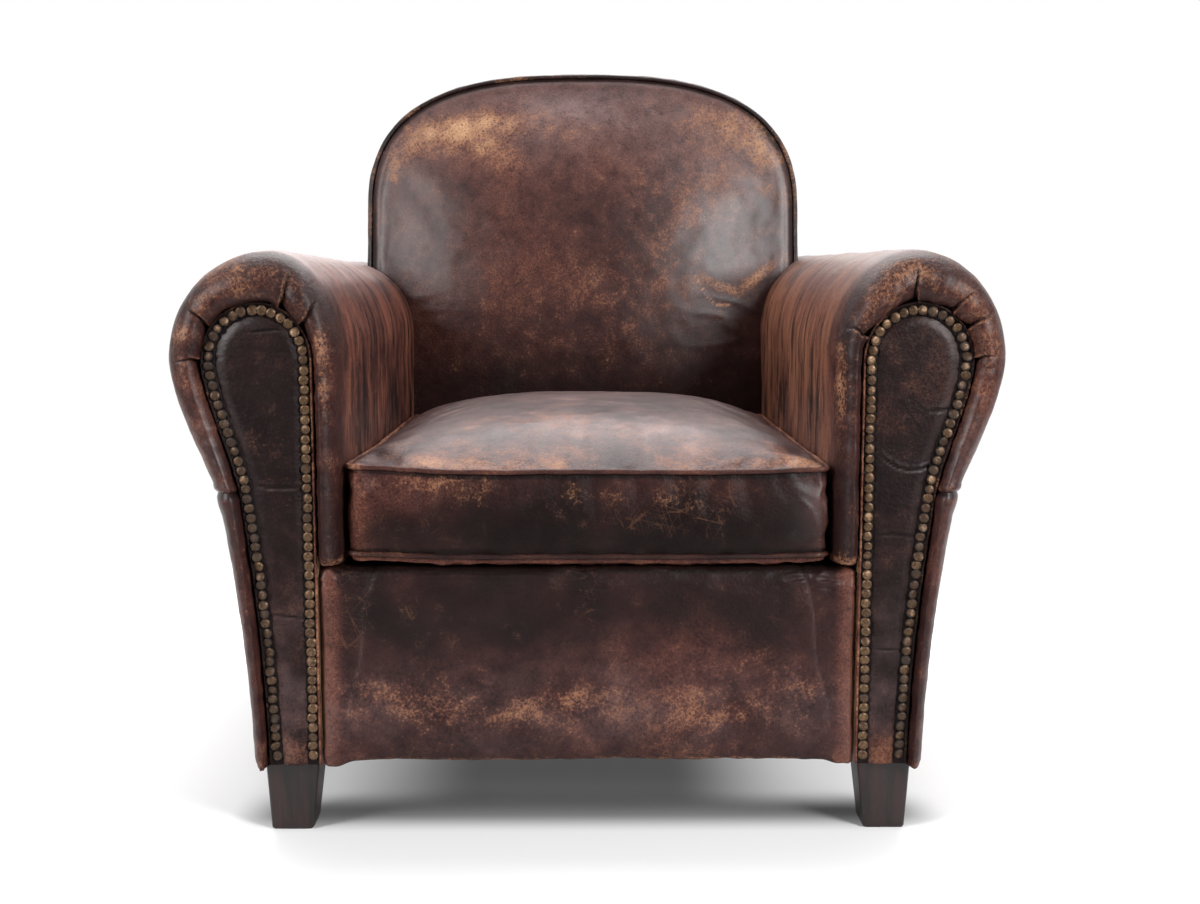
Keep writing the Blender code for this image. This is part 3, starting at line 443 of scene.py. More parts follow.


# %% [markdown]
# ## Leather
# The hide was dyed oxblood brown and waxed. Where people sat and leaned, the finish thinned, crazed and wore through
# to raw tan. So the finish has layers. A base drifts between deep brown, oxblood and russet, with a net of
# rust-coloured crazing. A pale bloom lies on it, which is partly a painted sheen where light glances off the arm tops,
# the top of the back and the cushion; black grime lies on it too, and the same paint lays shade near black into
# grooves, creases and hollows. Raw tan shows through in ragged patches, short curly strokes, specks and a few long
# scratches. The arms add streaks, drawn out along their own UV. How much of each is painted on the meshes; the nodes
# break those soft paintings up at the right scale, and a coat gives the polished places their gloss.

# %% The leather finish
NEAR_BLACK, DEEP_BROWN, OXBLOOD = (0.0052, 0.0022, 0.0020), (0.0140, 0.0048, 0.0043), (0.0480, 0.0135, 0.0112)
RUSSET, RUST, TAN = (0.118, 0.037, 0.023), (0.205, 0.086, 0.048), (0.330, 0.172, 0.094)
PALE_TAN, SHEEN_BLOOM, PALE_SHEEN_BLOOM = (0.500, 0.310, 0.175), (0.120, 0.076, 0.076), (0.400, 0.285, 0.270)
SCRATCH_TURNS = ((0.1, 1.2, 0.1), (-0.1, 2.3, 0.2), (0.2, 0.25, 0.1))  # directions of the long scratches


def leather(name, deep=DEEP_BROWN, body=OXBLOOD, wear=1.0, shine=0.11, streaks=False):
    """Aged leather: a mottled base, pale bloom and painted sheen, black grime and painted shade, then raw tan in
    patches, strokes, specks and scratches.
    """
    b = new_finish(name, Roughness=0.5, Specular_IOR_Level=0.11, Coat_Roughness=0.44)
    place = b.place()
    rub, soil, warm, bloom, polish = (b.amount(key) for key in ("rub", "soil", "warm", "bloom", "polish"))
    cloud = b.swing(place, 9.0, 4.0, 0.55, 1.4)
    crooked = b.bent(place, (22.0, 0.016), (130.0, 0.004))
    mottle = b.swing(crooked, 40.0, 8.0, 0.70, 2.2)
    speck = b.swing(place, 330.0, 3.0, 0.70, 1.4)
    curly = b.bent(place, (30.0, 0.012), (110.0, 0.0030))
    first = b.noise(b.drawn(curly, (0.3, -0.5, 0.3), 3.2), 150.0, 1.0, 0.5)
    second = b.noise(b.drawn(curly, (-0.2, 1.15, -0.4), 3.2), 230.0, 1.0, 0.5)
    net = b.cells(b.bent(crooked, (300.0, 0.0025)), 270.0, "DISTANCE_TO_EDGE")
    pebble = b.cells(b.bent(place, (160.0, 0.004)), 270.0)
    hairs = b.strokes(first, 15).over(b.strokes(second, 15)).over(0.60 - net * 9)

    base = b.mix(deep, body, b.band(cloud * 0.5 + mottle * 0.35 + warm * 0.5 - soil * 0.35, -0.25, 0.50))
    thinned = b.band(mottle * 0.40 + speck * 0.5 + warm * 0.45 + rub * 0.75, 0.20, 0.95)
    base = b.mix(base, RUSSET, thinned * 0.80)
    crazed = b.band(net, 0.10, 0.02) * b.band(cloud * 0.6 + mottle * 0.5 + warm * 0.4 - soil * 0.2, 0.0, 0.5)
    base = b.mix(base, RUST, crazed * 0.35)
    # Painted sheen: the bloom colours also paint paler the places where light glances off the hide.
    base = b.mix(base, SHEEN_BLOOM, bloom * b.band(cloud * 0.6 + mottle * 0.35, -0.45, 0.40))
    base = b.mix(base, PALE_SHEEN_BLOOM, b.band(bloom + cloud * 0.25 + mottle * 0.15, 0.62, 1.45) * 0.85)
    # Painted shade: near black also stands for the shade in grooves, creases and hollows, as well as real grime.
    base = b.mix(base, NEAR_BLACK, b.band(soil + mottle * 0.40 + cloud * 0.4, 0.25, 1.0) * 0.90)
    base = b.mix(base, NEAR_BLACK, b.band(speck * 1.3 + mottle * 0.4, -0.06, -0.34) * 0.50)

    hidden = soil * 0.10
    patch = b.band(rub - hidden + mottle * 0.6 + cloud * 0.3 + speck * 1.5, 0.95, 1.45)
    stroke = b.band(hairs, 0.15, 0.75) * b.band(
        rub * 1.30 - hidden + mottle * 0.8 + cloud * 0.4 + speck * 0.9, 0.24, 0.72
    )
    dots = b.band(speck + mottle * 0.3 + rub * 0.35 - hidden, 0.20, 0.36)
    worn = (patch * 0.62).over(stroke * (0.52 + rub * 0.38)).over(dots * (0.32 + rub * 0.45)) * wear
    long = [b.noise(b.drawn(b.bent(place, (5.0, 0.012)), turn, 40.0), 150.0, 0.0, 0.5) for turn in SCRATCH_TURNS]
    lines = [b.strokes(n, 46) for n in long]
    scratched = b.band(lines[0].over(lines[1]).over(lines[2]), 0.2, 0.9)
    scratched = scratched * b.band(cloud * 1.5 + mottle * 0.9, 0.05, 0.35) * b.amount("scratch")
    worn = worn.over(scratched * 0.24)
    if streaks:
        along = b.bent(b.place("UV"), (7.0, 0.045), (40.0, 0.006))
        ways = [b.scaled(along, across, drawn, 1.0) for across, drawn in ((9.0, 34.0), (15.0, 135.0), (22.0, 330.0))]
        broad, narrow, fine = (b.swing(way, 1.0, 4.0, 0.6, 2.4) for way in ways)
        amount = b.amount("streak")
        red = b.band(broad * 0.95 + narrow * 0.45 + fine * 0.45 + cloud * 0.4 + mottle * 0.2, -0.18, 0.38)
        base = b.mix(base, RUSSET, red * amount * 0.90)
        black = broad * 1.0 + narrow * 0.35 + fine * 0.45 - cloud * 0.4 + mottle * 0.2 + warm * 0.05
        base = b.mix(base, NEAR_BLACK, b.band(black, 0.10, -0.36) * amount * 0.88)
        rusty = b.band(broad * 0.7 + narrow * 0.5 + fine * 0.7 + warm * 0.55 + speck * 0.3, 0.52, 1.10)
        base = b.mix(base, RUST, rusty * amount * 0.75)
        pale = narrow * 0.8 + fine * 1.3 + broad * 0.5 + speck * 0.4 + mottle * 0.3 + rub * 0.3 + warm * 0.10
        worn = worn.over(b.band(pale, 0.40, 0.80) * amount * 0.75)
    raw = b.mix(RUST, TAN, b.band(rub * 0.8 + mottle * 0.6 + speck * 0.8, 0.10, 0.90))
    raw = b.mix(raw, PALE_TAN, b.band(rub * 0.7 + mottle * 0.6 + speck * 1.0, 0.60, 1.25))
    b.join(b.mix(base, raw, worn), "Base Color")
    b.join(0.52 + mottle * 0.12 + worn * 0.15, "Roughness")
    coat = (polish + shine + mottle * 0.12) * (1 - worn * 0.6) - soil * 0.10
    b.join(b.add("ShaderNodeMath", {"operation": "MAXIMUM", "use_clamp": True}, {0: coat, 1: 0.0}), "Coat Weight")
    soft = b.noise(place, 34.0, 2.0, 0.5)
    height = pebble * 0.36 + b.band(net, 0.0, 0.16) * 0.10 + first * 0.22 + second * 0.14 + soft * 0.4 - worn * 0.08
    if streaks:
        height = height + broad * 0.05 + narrow * 0.03
    b.relief(height, 0.0013)
    return b.owner


HIDE = (leather("brown_leather"), "brown_leather")
ARM_HIDE = (leather("brown_leather_streaked", streaks=True), "brown_leather")
DARK_HIDE = (leather("dark_leather", (0.0085, 0.0040, 0.0040), (0.0210, 0.0088, 0.0082), 0.36, 0.09), "dark_leather")
print("leather nodes:", [len(finish.node_tree.nodes) for finish, _ in (HIDE, ARM_HIDE, DARK_HIDE)])

# %% [markdown]
# ## Brass, wood, steel and cloth
# The nails are antique brass, worn through its patina on the dome and black in the rim. The legs are stained nearly
# black with a red glow, and the hidden frame is pale beech. Springs are plain steel, the webbing and hessian are jute,
# and a black cambric closes the underside.


# %% The other finishes
def aged_brass():
    """Brass with a darker rim: the painted rim and each nail's grime move it towards brown patina."""
    b = new_finish("aged_brass", Metallic=0.7, Roughness=0.5)
    place = b.place()
    rim, grime = b.amount("rim"), b.amount("grime")
    blotch = b.noise(place, 420.0, 4.0, 0.62)
    darkness = b.band(rim * 0.90 + grime * 0.55 + (blotch - 0.5) * 0.8, 0.30, 1.10)
    metal = b.mix((0.150, 0.090, 0.049), (0.068, 0.038, 0.023), b.band(blotch + grime * 0.2, 0.42, 0.70))
    b.join(b.mix(metal, (0.0090, 0.0055, 0.0040), darkness), "Base Color")
    b.join(0.72 - darkness * 0.50, "Metallic")
    b.join(0.47 + darkness * 0.25 + (blotch - 0.5) * 0.3, "Roughness")
    b.relief(blotch, 0.0004, 0.4)
    return b.owner


def wood(name, dark, light, gloss, rings=38.0):
    """Straight-grained wood: noise stretched along the height, with finer pores inside it."""
    b = new_finish(name, Roughness=gloss)
    long = b.scaled(b.bent(b.place(), (6.0, 0.02)), 1.0, 1.0, 0.09)
    grain = b.noise(long, rings, 5.0, 0.62)
    pores = b.noise(long, rings * 9, 3.0, 0.7)
    b.join(b.mix(dark, light, b.band(grain * 0.7 + pores * 0.3, 0.38, 0.64)), "Base Color")
    b.join(gloss + (pores - 0.5) * 0.25, "Roughness")
    b.relief(grain * 0.4 + pores * 0.6, 0.0005, 0.6)
    return b.owner


def woven(name, dark, light, threads):
    """Plain weave: two sets of waves at right angles that take turns on top, with uneven thread colour."""
    b = new_finish(name, Roughness=0.92)
    place = b.bent(b.place(), (40.0, 0.0012))
    wave = {"Vector": place, "Scale": threads, "Distortion": 0.3}
    warp, weft = (b.add("ShaderNodeTexWave", {"bands_direction": axis}, wave) for axis in "XY")
    height = warp.over(weft)
    tone = b.noise(place, 60.0, 4.0, 0.7)
    b.join(b.mix(dark, light, b.band(height * 0.6 + tone * 0.5, 0.35, 0.95)), "Base Color")
    b.relief(height, 0.0005, 0.6)
    return b.owner


def steel():
    """Bright steel with patches of rust."""
    b = new_finish("spring_steel", Metallic=0.95, Roughness=0.42)
    rust = b.band(b.noise(b.place(), 120.0, 5.0, 0.65), 0.52, 0.66)
    b.join(b.mix((0.34, 0.33, 0.32), (0.130, 0.060, 0.030), rust), "Base Color")
    b.join(0.95 - rust * 0.8, "Metallic")
    b.join(0.38 + rust * 0.4, "Roughness")
    return b.owner


BRASS = (aged_brass(), "aged_brass")
LEG_WOOD = wood("stained_wood", (0.0034, 0.0016, 0.0016), (0.0235, 0.0066, 0.0053), 0.46, 60.0)
FRAME_WOOD = wood("frame_wood", (0.30, 0.180, 0.090), (0.50, 0.335, 0.190), 0.65)
JUTE = woven("jute", (0.150, 0.100, 0.052), (0.420, 0.310, 0.180), 210.0)
CAMBRIC = (woven("black_cambric", (0.010, 0.010, 0.011), (0.036, 0.035, 0.035), 330.0), "dust_cloth")
DECK_CLOTH = (woven("deck_cloth", (0.030, 0.018, 0.014), (0.075, 0.048, 0.038), 300.0), "stuffing")
STEEL = steel()

# %% [markdown]
# ## The frame inside
# The rails, posts, springs and webbing keep their solids. They only show where the chair is looked at from below or
# through a gap, but each still gets its own finish through its material slot.

# %% Finishes for the solids that stay
INNER = {"spring": STEEL, "webbing": JUTE, "hessian": JUTE}
INNER |= dict.fromkeys(("rail", "post", "stump", "board", "block"), FRAME_WOOD) | {"leg": LEG_WOOD}
dressed = 0
for name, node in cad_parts.items():
    finish = next((made for word, made in INNER.items() if word in name.split("_")), None)
    for place in node.material_slots if finish else ():
        place.material = finish
    dressed += finish is not None
print("solids with a new finish:", dressed)

# %% [markdown]
# ## The arm's outline
# Seen from the front an arm rises straight from the seat, rolls over in an arch and comes in again to a seam half
# way down the outside. The leather starts in a groove beside the nails, swells forwards into a thick roll and turns
# back along the arm. One number runs round the outline and a second runs from the groove to the rear, so both covers
# of an arm are grids of the same function.


# %% The outline and the roll
def bezier(a, b, c, d, t):
    """A cubic curve from a to d with handles b and c."""
    weights = (1 - t) ** 3, 3 * t * (1 - t) ** 2, 3 * t * t * (1 - t), t**3
    return tuple(sum(w * v for w, v in zip(weights, values)) for values in zip(a, b, c, d))


def outline(q, low, foot, inner, crest, outer, rise, side_shape):
    """x and z round an arm: q 0-1 up the inside, 1-2 two quarter ellipses, 2-3 in to the seam, 3-4 to the foot, on
    a side that is part straight line, part parabola."""
    handles, seam, side_foot, straightness = side_shape
    a = math.pi * (2 - np.clip(q, 1, 2))
    x = crest + np.where(np.cos(a) < 0, crest - inner, outer - crest) * np.cos(a)
    z = np.where(q < 1, low + (ARM_SPRING - low) * q, ARM_SPRING + rise * np.sin(a))
    curve = bezier((outer, ARM_SPRING), *handles, seam, np.clip(q - 2, 0, 1))
    x, z = (np.where(q > 2, late, early) for late, early in zip(curve, (x, z)))
    lower = seam[1] + (foot - seam[1]) * np.clip(q - 3, 0, 1)
    share = (lower - side_foot[1]) / (seam[1] - side_foot[1])
    side_x = side_foot[0] + (seam[0] - side_foot[0]) * (straightness * share + (1 - straightness) * share**2)
    return np.where(q > 3, side_x, x), np.where(q > 3, lower, z)


def arm_outline(side, q, low, foot, depth):
    """The full outline at a depth; its crest runs straight from the front's to the rear's."""
    share = np.clip(depth / ARM_REAR_DEPTH, 0, 1)
    crest, rise = (a + (b - a) * share for a, b in zip(ARM_FRONT[side], ARM_REAR[side]))
    return outline(q, low, foot, ARM_INNER, crest, ARM_OUTER, rise, ARM_SIDE)


def nail_outline(q, low, foot):
    """The outline of the nails, which the roll starts from."""
    return outline(q, low, foot, NAIL_INNER, NAIL_CREST[0], NAIL_OUTER, NAIL_CREST[1], NAIL_SIDE)


def arm_points(side, q, low, away, share, depth, foot=TRIM_FOOT):
    """x and z of an arm: from the nail line a share of the way to the full outline, plus a distance away."""
    fx, fz = arm_outline(side, q, low, foot, depth)
    nx, nz = nail_outline(q, low, foot)
    s = share + away / np.hypot(fx - nx, fz - nz)
    return nx + s * (fx - nx), nz + s * (fz - nz)


OUTLINE_Q = np.linspace(0, 4, 1601)
OUTLINE_RUN = lengths(np.stack(arm_points(1, OUTLINE_Q, ROLL_BOTTOM, 0.0, 0.5, 0.0), 1))  # metres round the roll
STOPS = np.array(ROLL_STOPS)
SECTION_RUN = lengths(np.stack([STOPS[:, 0] + STOPS[:, 1] * 0.035, STOPS[:, 2]], 1))
SEAM_RUN = float(np.interp(3.0, OUTLINE_Q, OUTLINE_RUN))
print("outline to the seam:", round(SEAM_RUN, 3), "m; groove to the arm's side:", round(SECTION_RUN[-1], 3), "m")

# %% [markdown]
# ## Tucks in the roll
# Where the hide turns round the arch it has too much length at the inner edge, and the upholsterer folds the extra
# into a few tucks. Each one is a lip that swells towards a dark crease, with the leather beyond it lying lower. The
# folds fan out from the nails and die away on the crest of the roll, with a puffy swelling between neighbours.

# %% Where the tucks are, and their relief
TUCKS = {  # angle round the arch from the inside in degrees, length, sideways lean, and which side laps over
    -1: ((34, 0.034, 0.004, -1), (63, 0.032, 0.003, -1), (146, 0.034, -0.004, 1), (178, 0.030, 0.002, 1)),
    1: (
        (21, 0.036, -0.003, 1), (85, 0.034, 0.002, -1), (125, 0.026, 0.006, -1), (148, 0.036, 0.004, -1),
        (178, 0.026, -0.003, 1),
    ),
}
TUCK_RUNS = {  # metres round the outline to each tuck
    side: np.interp([1 + row[0] / 180 for row in rows], OUTLINE_Q, OUTLINE_RUN) for side, rows in TUCKS.items()
}


def tucks(side, run, out):
    """Relief, crease and lip of all tucks: along the outline, the lip is exp(u / 8.5 mm) before each crease and the
    hollow -exp(-u / 6 mm) after it; both fade with the distance out from the groove."""
    relief, crease, lip = np.zeros((3, *run.shape))
    for place, (_, length, lean, lap) in zip(TUCK_RUNS[side], TUCKS[side]):
        u = (run - place - lean * out / length - 0.0012 * np.sin(out * 300)) * lap
        fade = np.clip(1 - out / length, 0, 1) ** 0.7 * ease(out, -0.002, 0.004)
        over, under = np.exp(np.minimum(u, 0) / 0.0085), np.exp(-np.maximum(u, 0) / 0.0060)
        step = ease(u, -0.0010, 0.0006)
        relief += fade * (0.0042 * over * (1 - step) - 0.0040 * under * step - 0.0018 * hill(u, 0.0007, 0.0011))
        crease += fade * hill(u, 0.0010, 0.0013)
        lip += fade * hill(u, -0.0012, 0.0012)
    return relief, np.clip(crease, 0, 1), np.clip(lip, 0, 1)


def swelling(side, run, out):
    """Puffiness between neighbouring tucks: a squared half wave between them, strongest 15 mm out from the groove."""
    puff = np.zeros(run.shape)
    for a, b in itertools.pairwise(TUCK_RUNS[side]):
        wave = np.sin(math.pi * (run - a) / (b - a)) ** 2
        puff += np.where((run > a) & (run < b), wave, 0) * min((b - a) / 0.06, 1.0)
    return puff * hill(out, 0.015, 0.014)


print("tucks:", {word: np.round(TUCK_RUNS[side], 3).tolist() for side, word in SIDES})

# %% [markdown]
# ## Arm covers
# The main cover runs from the seat over the roll to the outer seam, where its edge is folded under and overlaps the
# lower panel. Its grid is dense in the front roll and near the tucks. The pull of the hide round the arm has drawn
# the worn finish into long streaks, which follow the grid's own UV, in metres.


# %% Grid of one arm's surface
def arm_grid(side, q, run, foot, front_count, rear_count):
    """Points round the outline (columns) by places from groove to rear (rows), with their distances and depth."""
    front = spread(lambda s: 1 / (1 + (s / 0.045) ** 2), 0, SECTION_RUN[-1], front_count)
    away, share, depth = through(SECTION_RUN, STOPS, front).T
    rest = np.linspace(0, 1, rear_count + 1)[1:]
    away, share, start, rows, section = (
        np.append(early, np.broadcast_to(late, rest.shape))[:, None]
        for early, late in (
            (away, 0.0), (share, 1.0), (depth, depth[-1]), (0.0 * front, rest), (front, SECTION_RUN[-1] + rest * 0.70)
        )
    )
    low = ROLL_BOTTOM + (INNER_BOTTOM - ROLL_BOTTOM) * ease(rows, 0.0, 0.03)
    d = start + rows * (rear_depth(ARM_SPRING) - start)
    _, z = arm_points(side, q[None], low, away, share, d, foot)
    d = start + rows * (rear_depth(z) - (LEATHER + GAP) - start)
    x, z = arm_points(side, q[None], low, away, share, d, foot)
    points = at(side * (x - TOE_IN * np.maximum(d, 0)), d, z)
    return points, *np.broadcast_arrays(run[None], section, d)


def arm_paint(side, points, run, section, depth, crease, lip):
    """Painted amounts of an arm's leather, from where on the arm each point is."""
    x, z, right = points[..., 0] * side, points[..., 2], side > 0
    wander = rough(points, 14, 31)
    roll, top = hill(section, 0.032, 0.012), ease(z, 0.53, 0.585)
    behind = ease(depth, 0.0, 0.05)
    front = 1 - behind
    inner = ease(x, 0.300, 0.262) * ease(z, 0.60, 0.50)
    rub = 0.05 * front + roll * (0.16 * (0.7 + 1.2 * wander) * ease(z, 0.42, 0.50) + 0.10)
    rub += 0.55 * lip + 0.16 * behind * top
    if right:
        patchy = 0.75 + 0.6 * noise(points, 34, 37)
        rub += spots(x, z, (0.95, 0.250, 0.475, 0.007, 0.050)) * hill(depth, 0.006, 0.016) * patchy
        rub += spots(x, z, (0.30, 0.300, 0.575, 0.045, 0.018, 20)) * front
    else:
        rub += spots(x, z, (0.30, 0.352, 0.575, 0.040, 0.012, -25), (0.25, 0.385, 0.36, 0.010, 0.05)) * front
        rub += spots(x, z, (0.62, 0.398, 0.512, 0.008, 0.009), (0.60, 0.262, 0.500, 0.006, 0.012))
        rub += spots(x, z, (0.35, 0.260, 0.460, 0.006, 0.022))
    rub += (0.35 + 0.35 * right) * hill(z, ROLL_BOTTOM + 0.004, 0.005) * front * ease(x, 0.30, 0.27)
    rub += spots(x, z, (0.22, 0.345, 0.095, 0.020, 0.022)) + 0.22 * hill(depth, 0.012, 0.012) * ease(x, 0.335, 0.345)
    rub += 0.30 * hill(run, SEAM_RUN - 0.001, 0.0018)
    # Dark paint: painted shade in the nail groove and the tucks' creases, grime on the roll, the inside darker near the
    # seat.
    soil = 1.25 * ease(section, 0.0180, 0.0090) + 1.0 * crease + (0.12 + 0.25 * ease(z, 0.45, 0.52)) * front
    soil = soil + 0.30 * hill(section, 0.062, 0.020) * (0.6 + wander) + 0.35 * ease(z, 0.42, 0.30) * inner
    warm = 0.42 + (0.25 + 0.65 * right) * behind + 0.35 * wander + (0.20 * ease(x, 0.33, 0.36) - 0.10) * front
    # Painted sheen: the arm tops are painted pale where the overhead light glances off them, the left one more.
    bloom = (0.88 if right else 1.75) * top * ease(depth, -0.018, 0.045)
    streak = ease(depth, 0.010, 0.070) * (0.75 + 0.35 * inner + 0.25 * wander) * (0.20 + 0.80 * ease(x, 0.375, 0.325))
    polish = 0.22 + (0.85 if right else 1.15) * top * behind + 0.50 * front * ease(x, 0.34, 0.37) * ease(z, 0.46, 0.40)
    return clipped(1.7, rub=rub, soil=soil, warm=warm, bloom=bloom, streak=streak, polish=polish)


def arm_relief(side, points, run, section, depth):
    """All folds of an arm: tucks, swellings, fine pleats at the groove and the slack of old hide."""
    out = section - 0.0085
    fold, crease, lip = tucks(side, run, np.maximum(out, 0))
    behind = ease(depth, 0.01, 0.08)
    small = np.stack([run, 0 * run, section * 0.35], -1)
    drag = np.stack([run * 0.28, section, 0 * run], -1)
    relief = fold + 0.0042 * swelling(side, run, out)
    relief += 0.0007 * noise(small, 170, 41 + side) * hill(out, 0.002, 0.012)
    relief += 0.0012 * rough(small, 55, 47 + side) * hill(out, 0.014, 0.026)
    relief += 0.0007 * rough(points, 9, 53) * behind + 0.0005 * rough(points, 38, 59)
    relief += 0.0006 * wrinkles(drag, 22, 61 + side, 0.25) * behind * ease(points[..., 2], 0.40, 0.52)
    return relief, crease, lip


# %% Main covers of the arms
ARM_COLUMNS, ARM_ROWS = 300, (54, 92)
for side, word in SIDES:
    near_tucks = lambda s: sum(2.6 * hill(s, place, 0.010) for place in TUCK_RUNS[side])
    run = spread(lambda s: 1 + near_tucks(s) + 2 * hill(s, 0, 0.01), 0, SEAM_RUN, ARM_COLUMNS)
    points, run, section, depth = arm_grid(side, np.interp(run, OUTLINE_RUN, OUTLINE_Q), run, TRIM_FOOT, *ARM_ROWS)
    relief, crease, lip = arm_relief(side, points, run, section, depth)
    relief += 0.0017 * hill(run, SEAM_RUN - 0.0035, 0.0035) * ease(section, 0.006, 0.02)
    paint = arm_paint(side, points, run, section, depth, crease, lip)
    inside = at(side * 0.332, 0.3, 0.43)
    points = raised(points, relief, inside)
    # The roll's lower inner end is drawn together: within 12 mm of it the leather goes back
    points[..., 1] += 0.0065 * (ease(run, 0.012, 0.0) * ease(section, SECTION_RUN[-1], 0.045)) ** 1.5
    solids, uv = (f"{word}_arm_cover", f"{word}_arm_pad"), np.stack([run, section], -1)
    make_piece(f"{word}_arm", points, ARM_HIDE, solids, inside, wall=HIDE_WALL, paint=paint, uv=uv)
    print(word, "arm grid", points.shape[:2])

# %% [markdown]
# ## Outside arm panels
# Below the seam a separate panel covers the outer side, down to the foot, and carries the lower part of the roll.
# Its top edge is tucked under the main cover, so it starts a little inside it.

# %% Panels below the seam
PANEL_COLUMNS, PANEL_ROWS = 96, (44, 84)
for side, word in SIDES:
    q = np.linspace(2.98, 4, PANEL_COLUMNS)
    points, run, section, depth = arm_grid(side, q, np.interp(q, OUTLINE_Q, OUTLINE_RUN), PANEL_FOOT, *PANEL_ROWS)
    z = points[..., 2]
    relief, crease, lip = arm_relief(side, points, run, section, depth)
    relief = relief * ease(z, 0.35, 0.33) - 0.0030 * ease(z, 0.349, 0.3555) + 0.0016 * hill(z, 0.344, 0.010)
    relief -= 0.0018 * hill(z, PANEL_FOOT + 0.001, 0.003)
    paint = arm_paint(side, points, run, section, depth, crease, lip)
    # Painted shade: a dark line under the edge of the main cover, which laps over the panel's top.
    soil = paint["soil"] + 0.7 * hill(z, 0.352, 0.004)
    paint |= clipped(soil=soil, rub=paint["rub"] * 0.8 + 0.15 * hill(z, 0.074, 0.004), streak=paint["streak"] * 0.10)
    inside = at(side * 0.300, 0.3, 0.20)
    points, solids, uv = raised(points, relief, inside), (f"{word}_outside_arm_panel",), np.stack([run, section], -1)
    make_piece(f"{word}_outside_arm", points, ARM_HIDE, solids, inside, wall=HIDE_WALL, paint=paint, uv=uv)

# %% [markdown]
# ## Facing panels
# The front of each arm is a flat panel of darker hide over a thin pad, cut to the nail line. Rows of the grid run
# level from its inner to its outer edge. It stands proud in the middle and rounds off towards the nails, and it
# carries the odd crease where the arm was leaned on.


# %% The nail line and the panels inside it
def nail_line(q, by=0.0):
    """x and z of the nail line at q, moved outwards by a distance along its own normal."""
    x, z = nail_outline(q, TRIM_FOOT, TRIM_FOOT)
    dx, dz = np.gradient(x), np.gradient(z)
    size = np.hypot(dx, dz)
    return x - dz / size * by, z + dx / size * by


LINE_Q = np.linspace(0, 4, 1201)
LINE = np.stack(nail_line(LINE_Q), 1)
LINE_RUN = lengths(LINE)
FACING_EDGE = -0.0030
CREASES = {  # for each panel: start and end of a crease in x and z, sag of its middle, depth
    -1: (
        (0.288, 0.3590, 0.3290, 0.3605, -0.002, 0.0020), (0.300, 0.5150, 0.3300, 0.5130, 0.0, 0.0007),
        (0.287, 0.225, 0.318, 0.228, 0.001, 0.0009),
    ),
    1: (
        (0.2900, 0.3900, 0.3480, 0.3850, -0.012, 0.0026), (0.3350, 0.4330, 0.3620, 0.4360, 0.001, 0.0011),
        (0.3050, 0.4450, 0.3330, 0.4080, 0.004, 0.0007), (0.2880, 0.1925, 0.3220, 0.1900, 0.001, 0.0011),
        (0.2900, 0.3100, 0.3350, 0.3060, 0.002, 0.0007),
    ),
}

for side, word in SIDES:
    up = np.concatenate([np.linspace(0, 1, 190)[:-1], np.linspace(1, 1.5, 70)])
    edge_x, edge_z = nail_line(LINE_Q, FACING_EDGE)
    near, z = np.interp(up, LINE_Q, edge_x), np.interp(up, LINE_Q, edge_z)
    outer = np.flatnonzero(LINE_Q >= 1.5)
    outer = outer[np.argsort(edge_z[outer])]
    width = np.interp(z, edge_z[outer], edge_x[outer]) - near
    cross = spread(lambda s: 1 + 2 * hill(s, 0, 0.12) + 2 * hill(s, 1, 0.12), 0, 1, 64)
    x = near[:, None] + width[:, None] * cross[None]
    z = np.broadcast_to(z[:, None], x.shape)
    flat = at(side * x, 0.0, z)
    edge = np.clip(far_from(x, z, LINE[::4]) + FACING_EDGE + 0.0012 * noise(flat, 55, 71), 0, None)
    outer_side = ease(x, 0.30, 0.36)
    depth = 0.0024 - 0.0056 * ease(edge, -0.004, 0.010 + 0.005 * outer_side) + 0.0010 * ease(edge, 0.03, 0.0)
    depth = depth + 0.0005 * rough(flat, 24, 73) + 0.00022 * rough(flat * (1, 1, 2.4), 150, 79)
    crease, glint = np.zeros((2, *x.shape))
    for x0, z0, x1, z1, sag, deep in CREASES[side]:
        t = (x - x0) / (x1 - x0)
        bow = np.clip(t, 0, 1) * (1 - np.clip(t, 0, 1))
        line = z0 + (z1 - z0) * t + sag * 4 * bow + 0.0008 * noise(flat, 90, 83)
        fade = ease(t, -0.08, 0.15) * ease(t, 1.08, 0.85)
        depth = depth + fade * (deep * hill(z, line, 0.0011) - 0.7 * deep * hill(z, line + 0.0024, 0.0022))
        crease += fade * hill(z, line + 0.0012, 0.0011)
        glint += fade * hill(z, line - 0.0014, 0.0010) * deep / 0.0026
    rub = 0.04 + spots(x, z, (0.20, 0.31, 0.40, 0.03, 0.07), (0.40, 0.298, 0.082, 0.022, 0.022))
    paint = clipped(
        1,
        rub=rub + 0.16 * rough(flat, 16, 89) + 0.10 * ease(z, 0.25, 0.10),
        warm=0.15 + 0.3 * rough(flat, 12, 91) + 0.3 * ease(z, 0.16, 0.09),
        polish=0.35 * hill(edge, 0.0075, 0.005) * outer_side + 0.5 * glint,
    )
    # Painted shade: dark along the edge at the nails and in each crease; the whole panel a little darker too.
    paint |= clipped(1.2, soil=0.9 * ease(edge, 0.0035, 0.0) + 0.8 * crease + 0.25, scratch=0.30)
    # Painted highlight: a pale line beside each crease and along the outer rounded edge; paler towards the bottom.
    paint["bloom"] = 0.20 * hill(edge, 0.0075, 0.004) * outer_side + 0.5 * glint
    paint["bloom"] += 0.55 * ease(z, 0.30, 0.13) * (0.6 + rough(flat, 20, 93))
    points, solids, inside = at(side * x, depth, z), (f"{word}_facing_panel",), at(side * 0.32, 0.1, 0.3)
    make_piece(f"{word}_facing", points, DARK_HIDE, solids, inside, wall=HIDE_WALL, paint=paint)

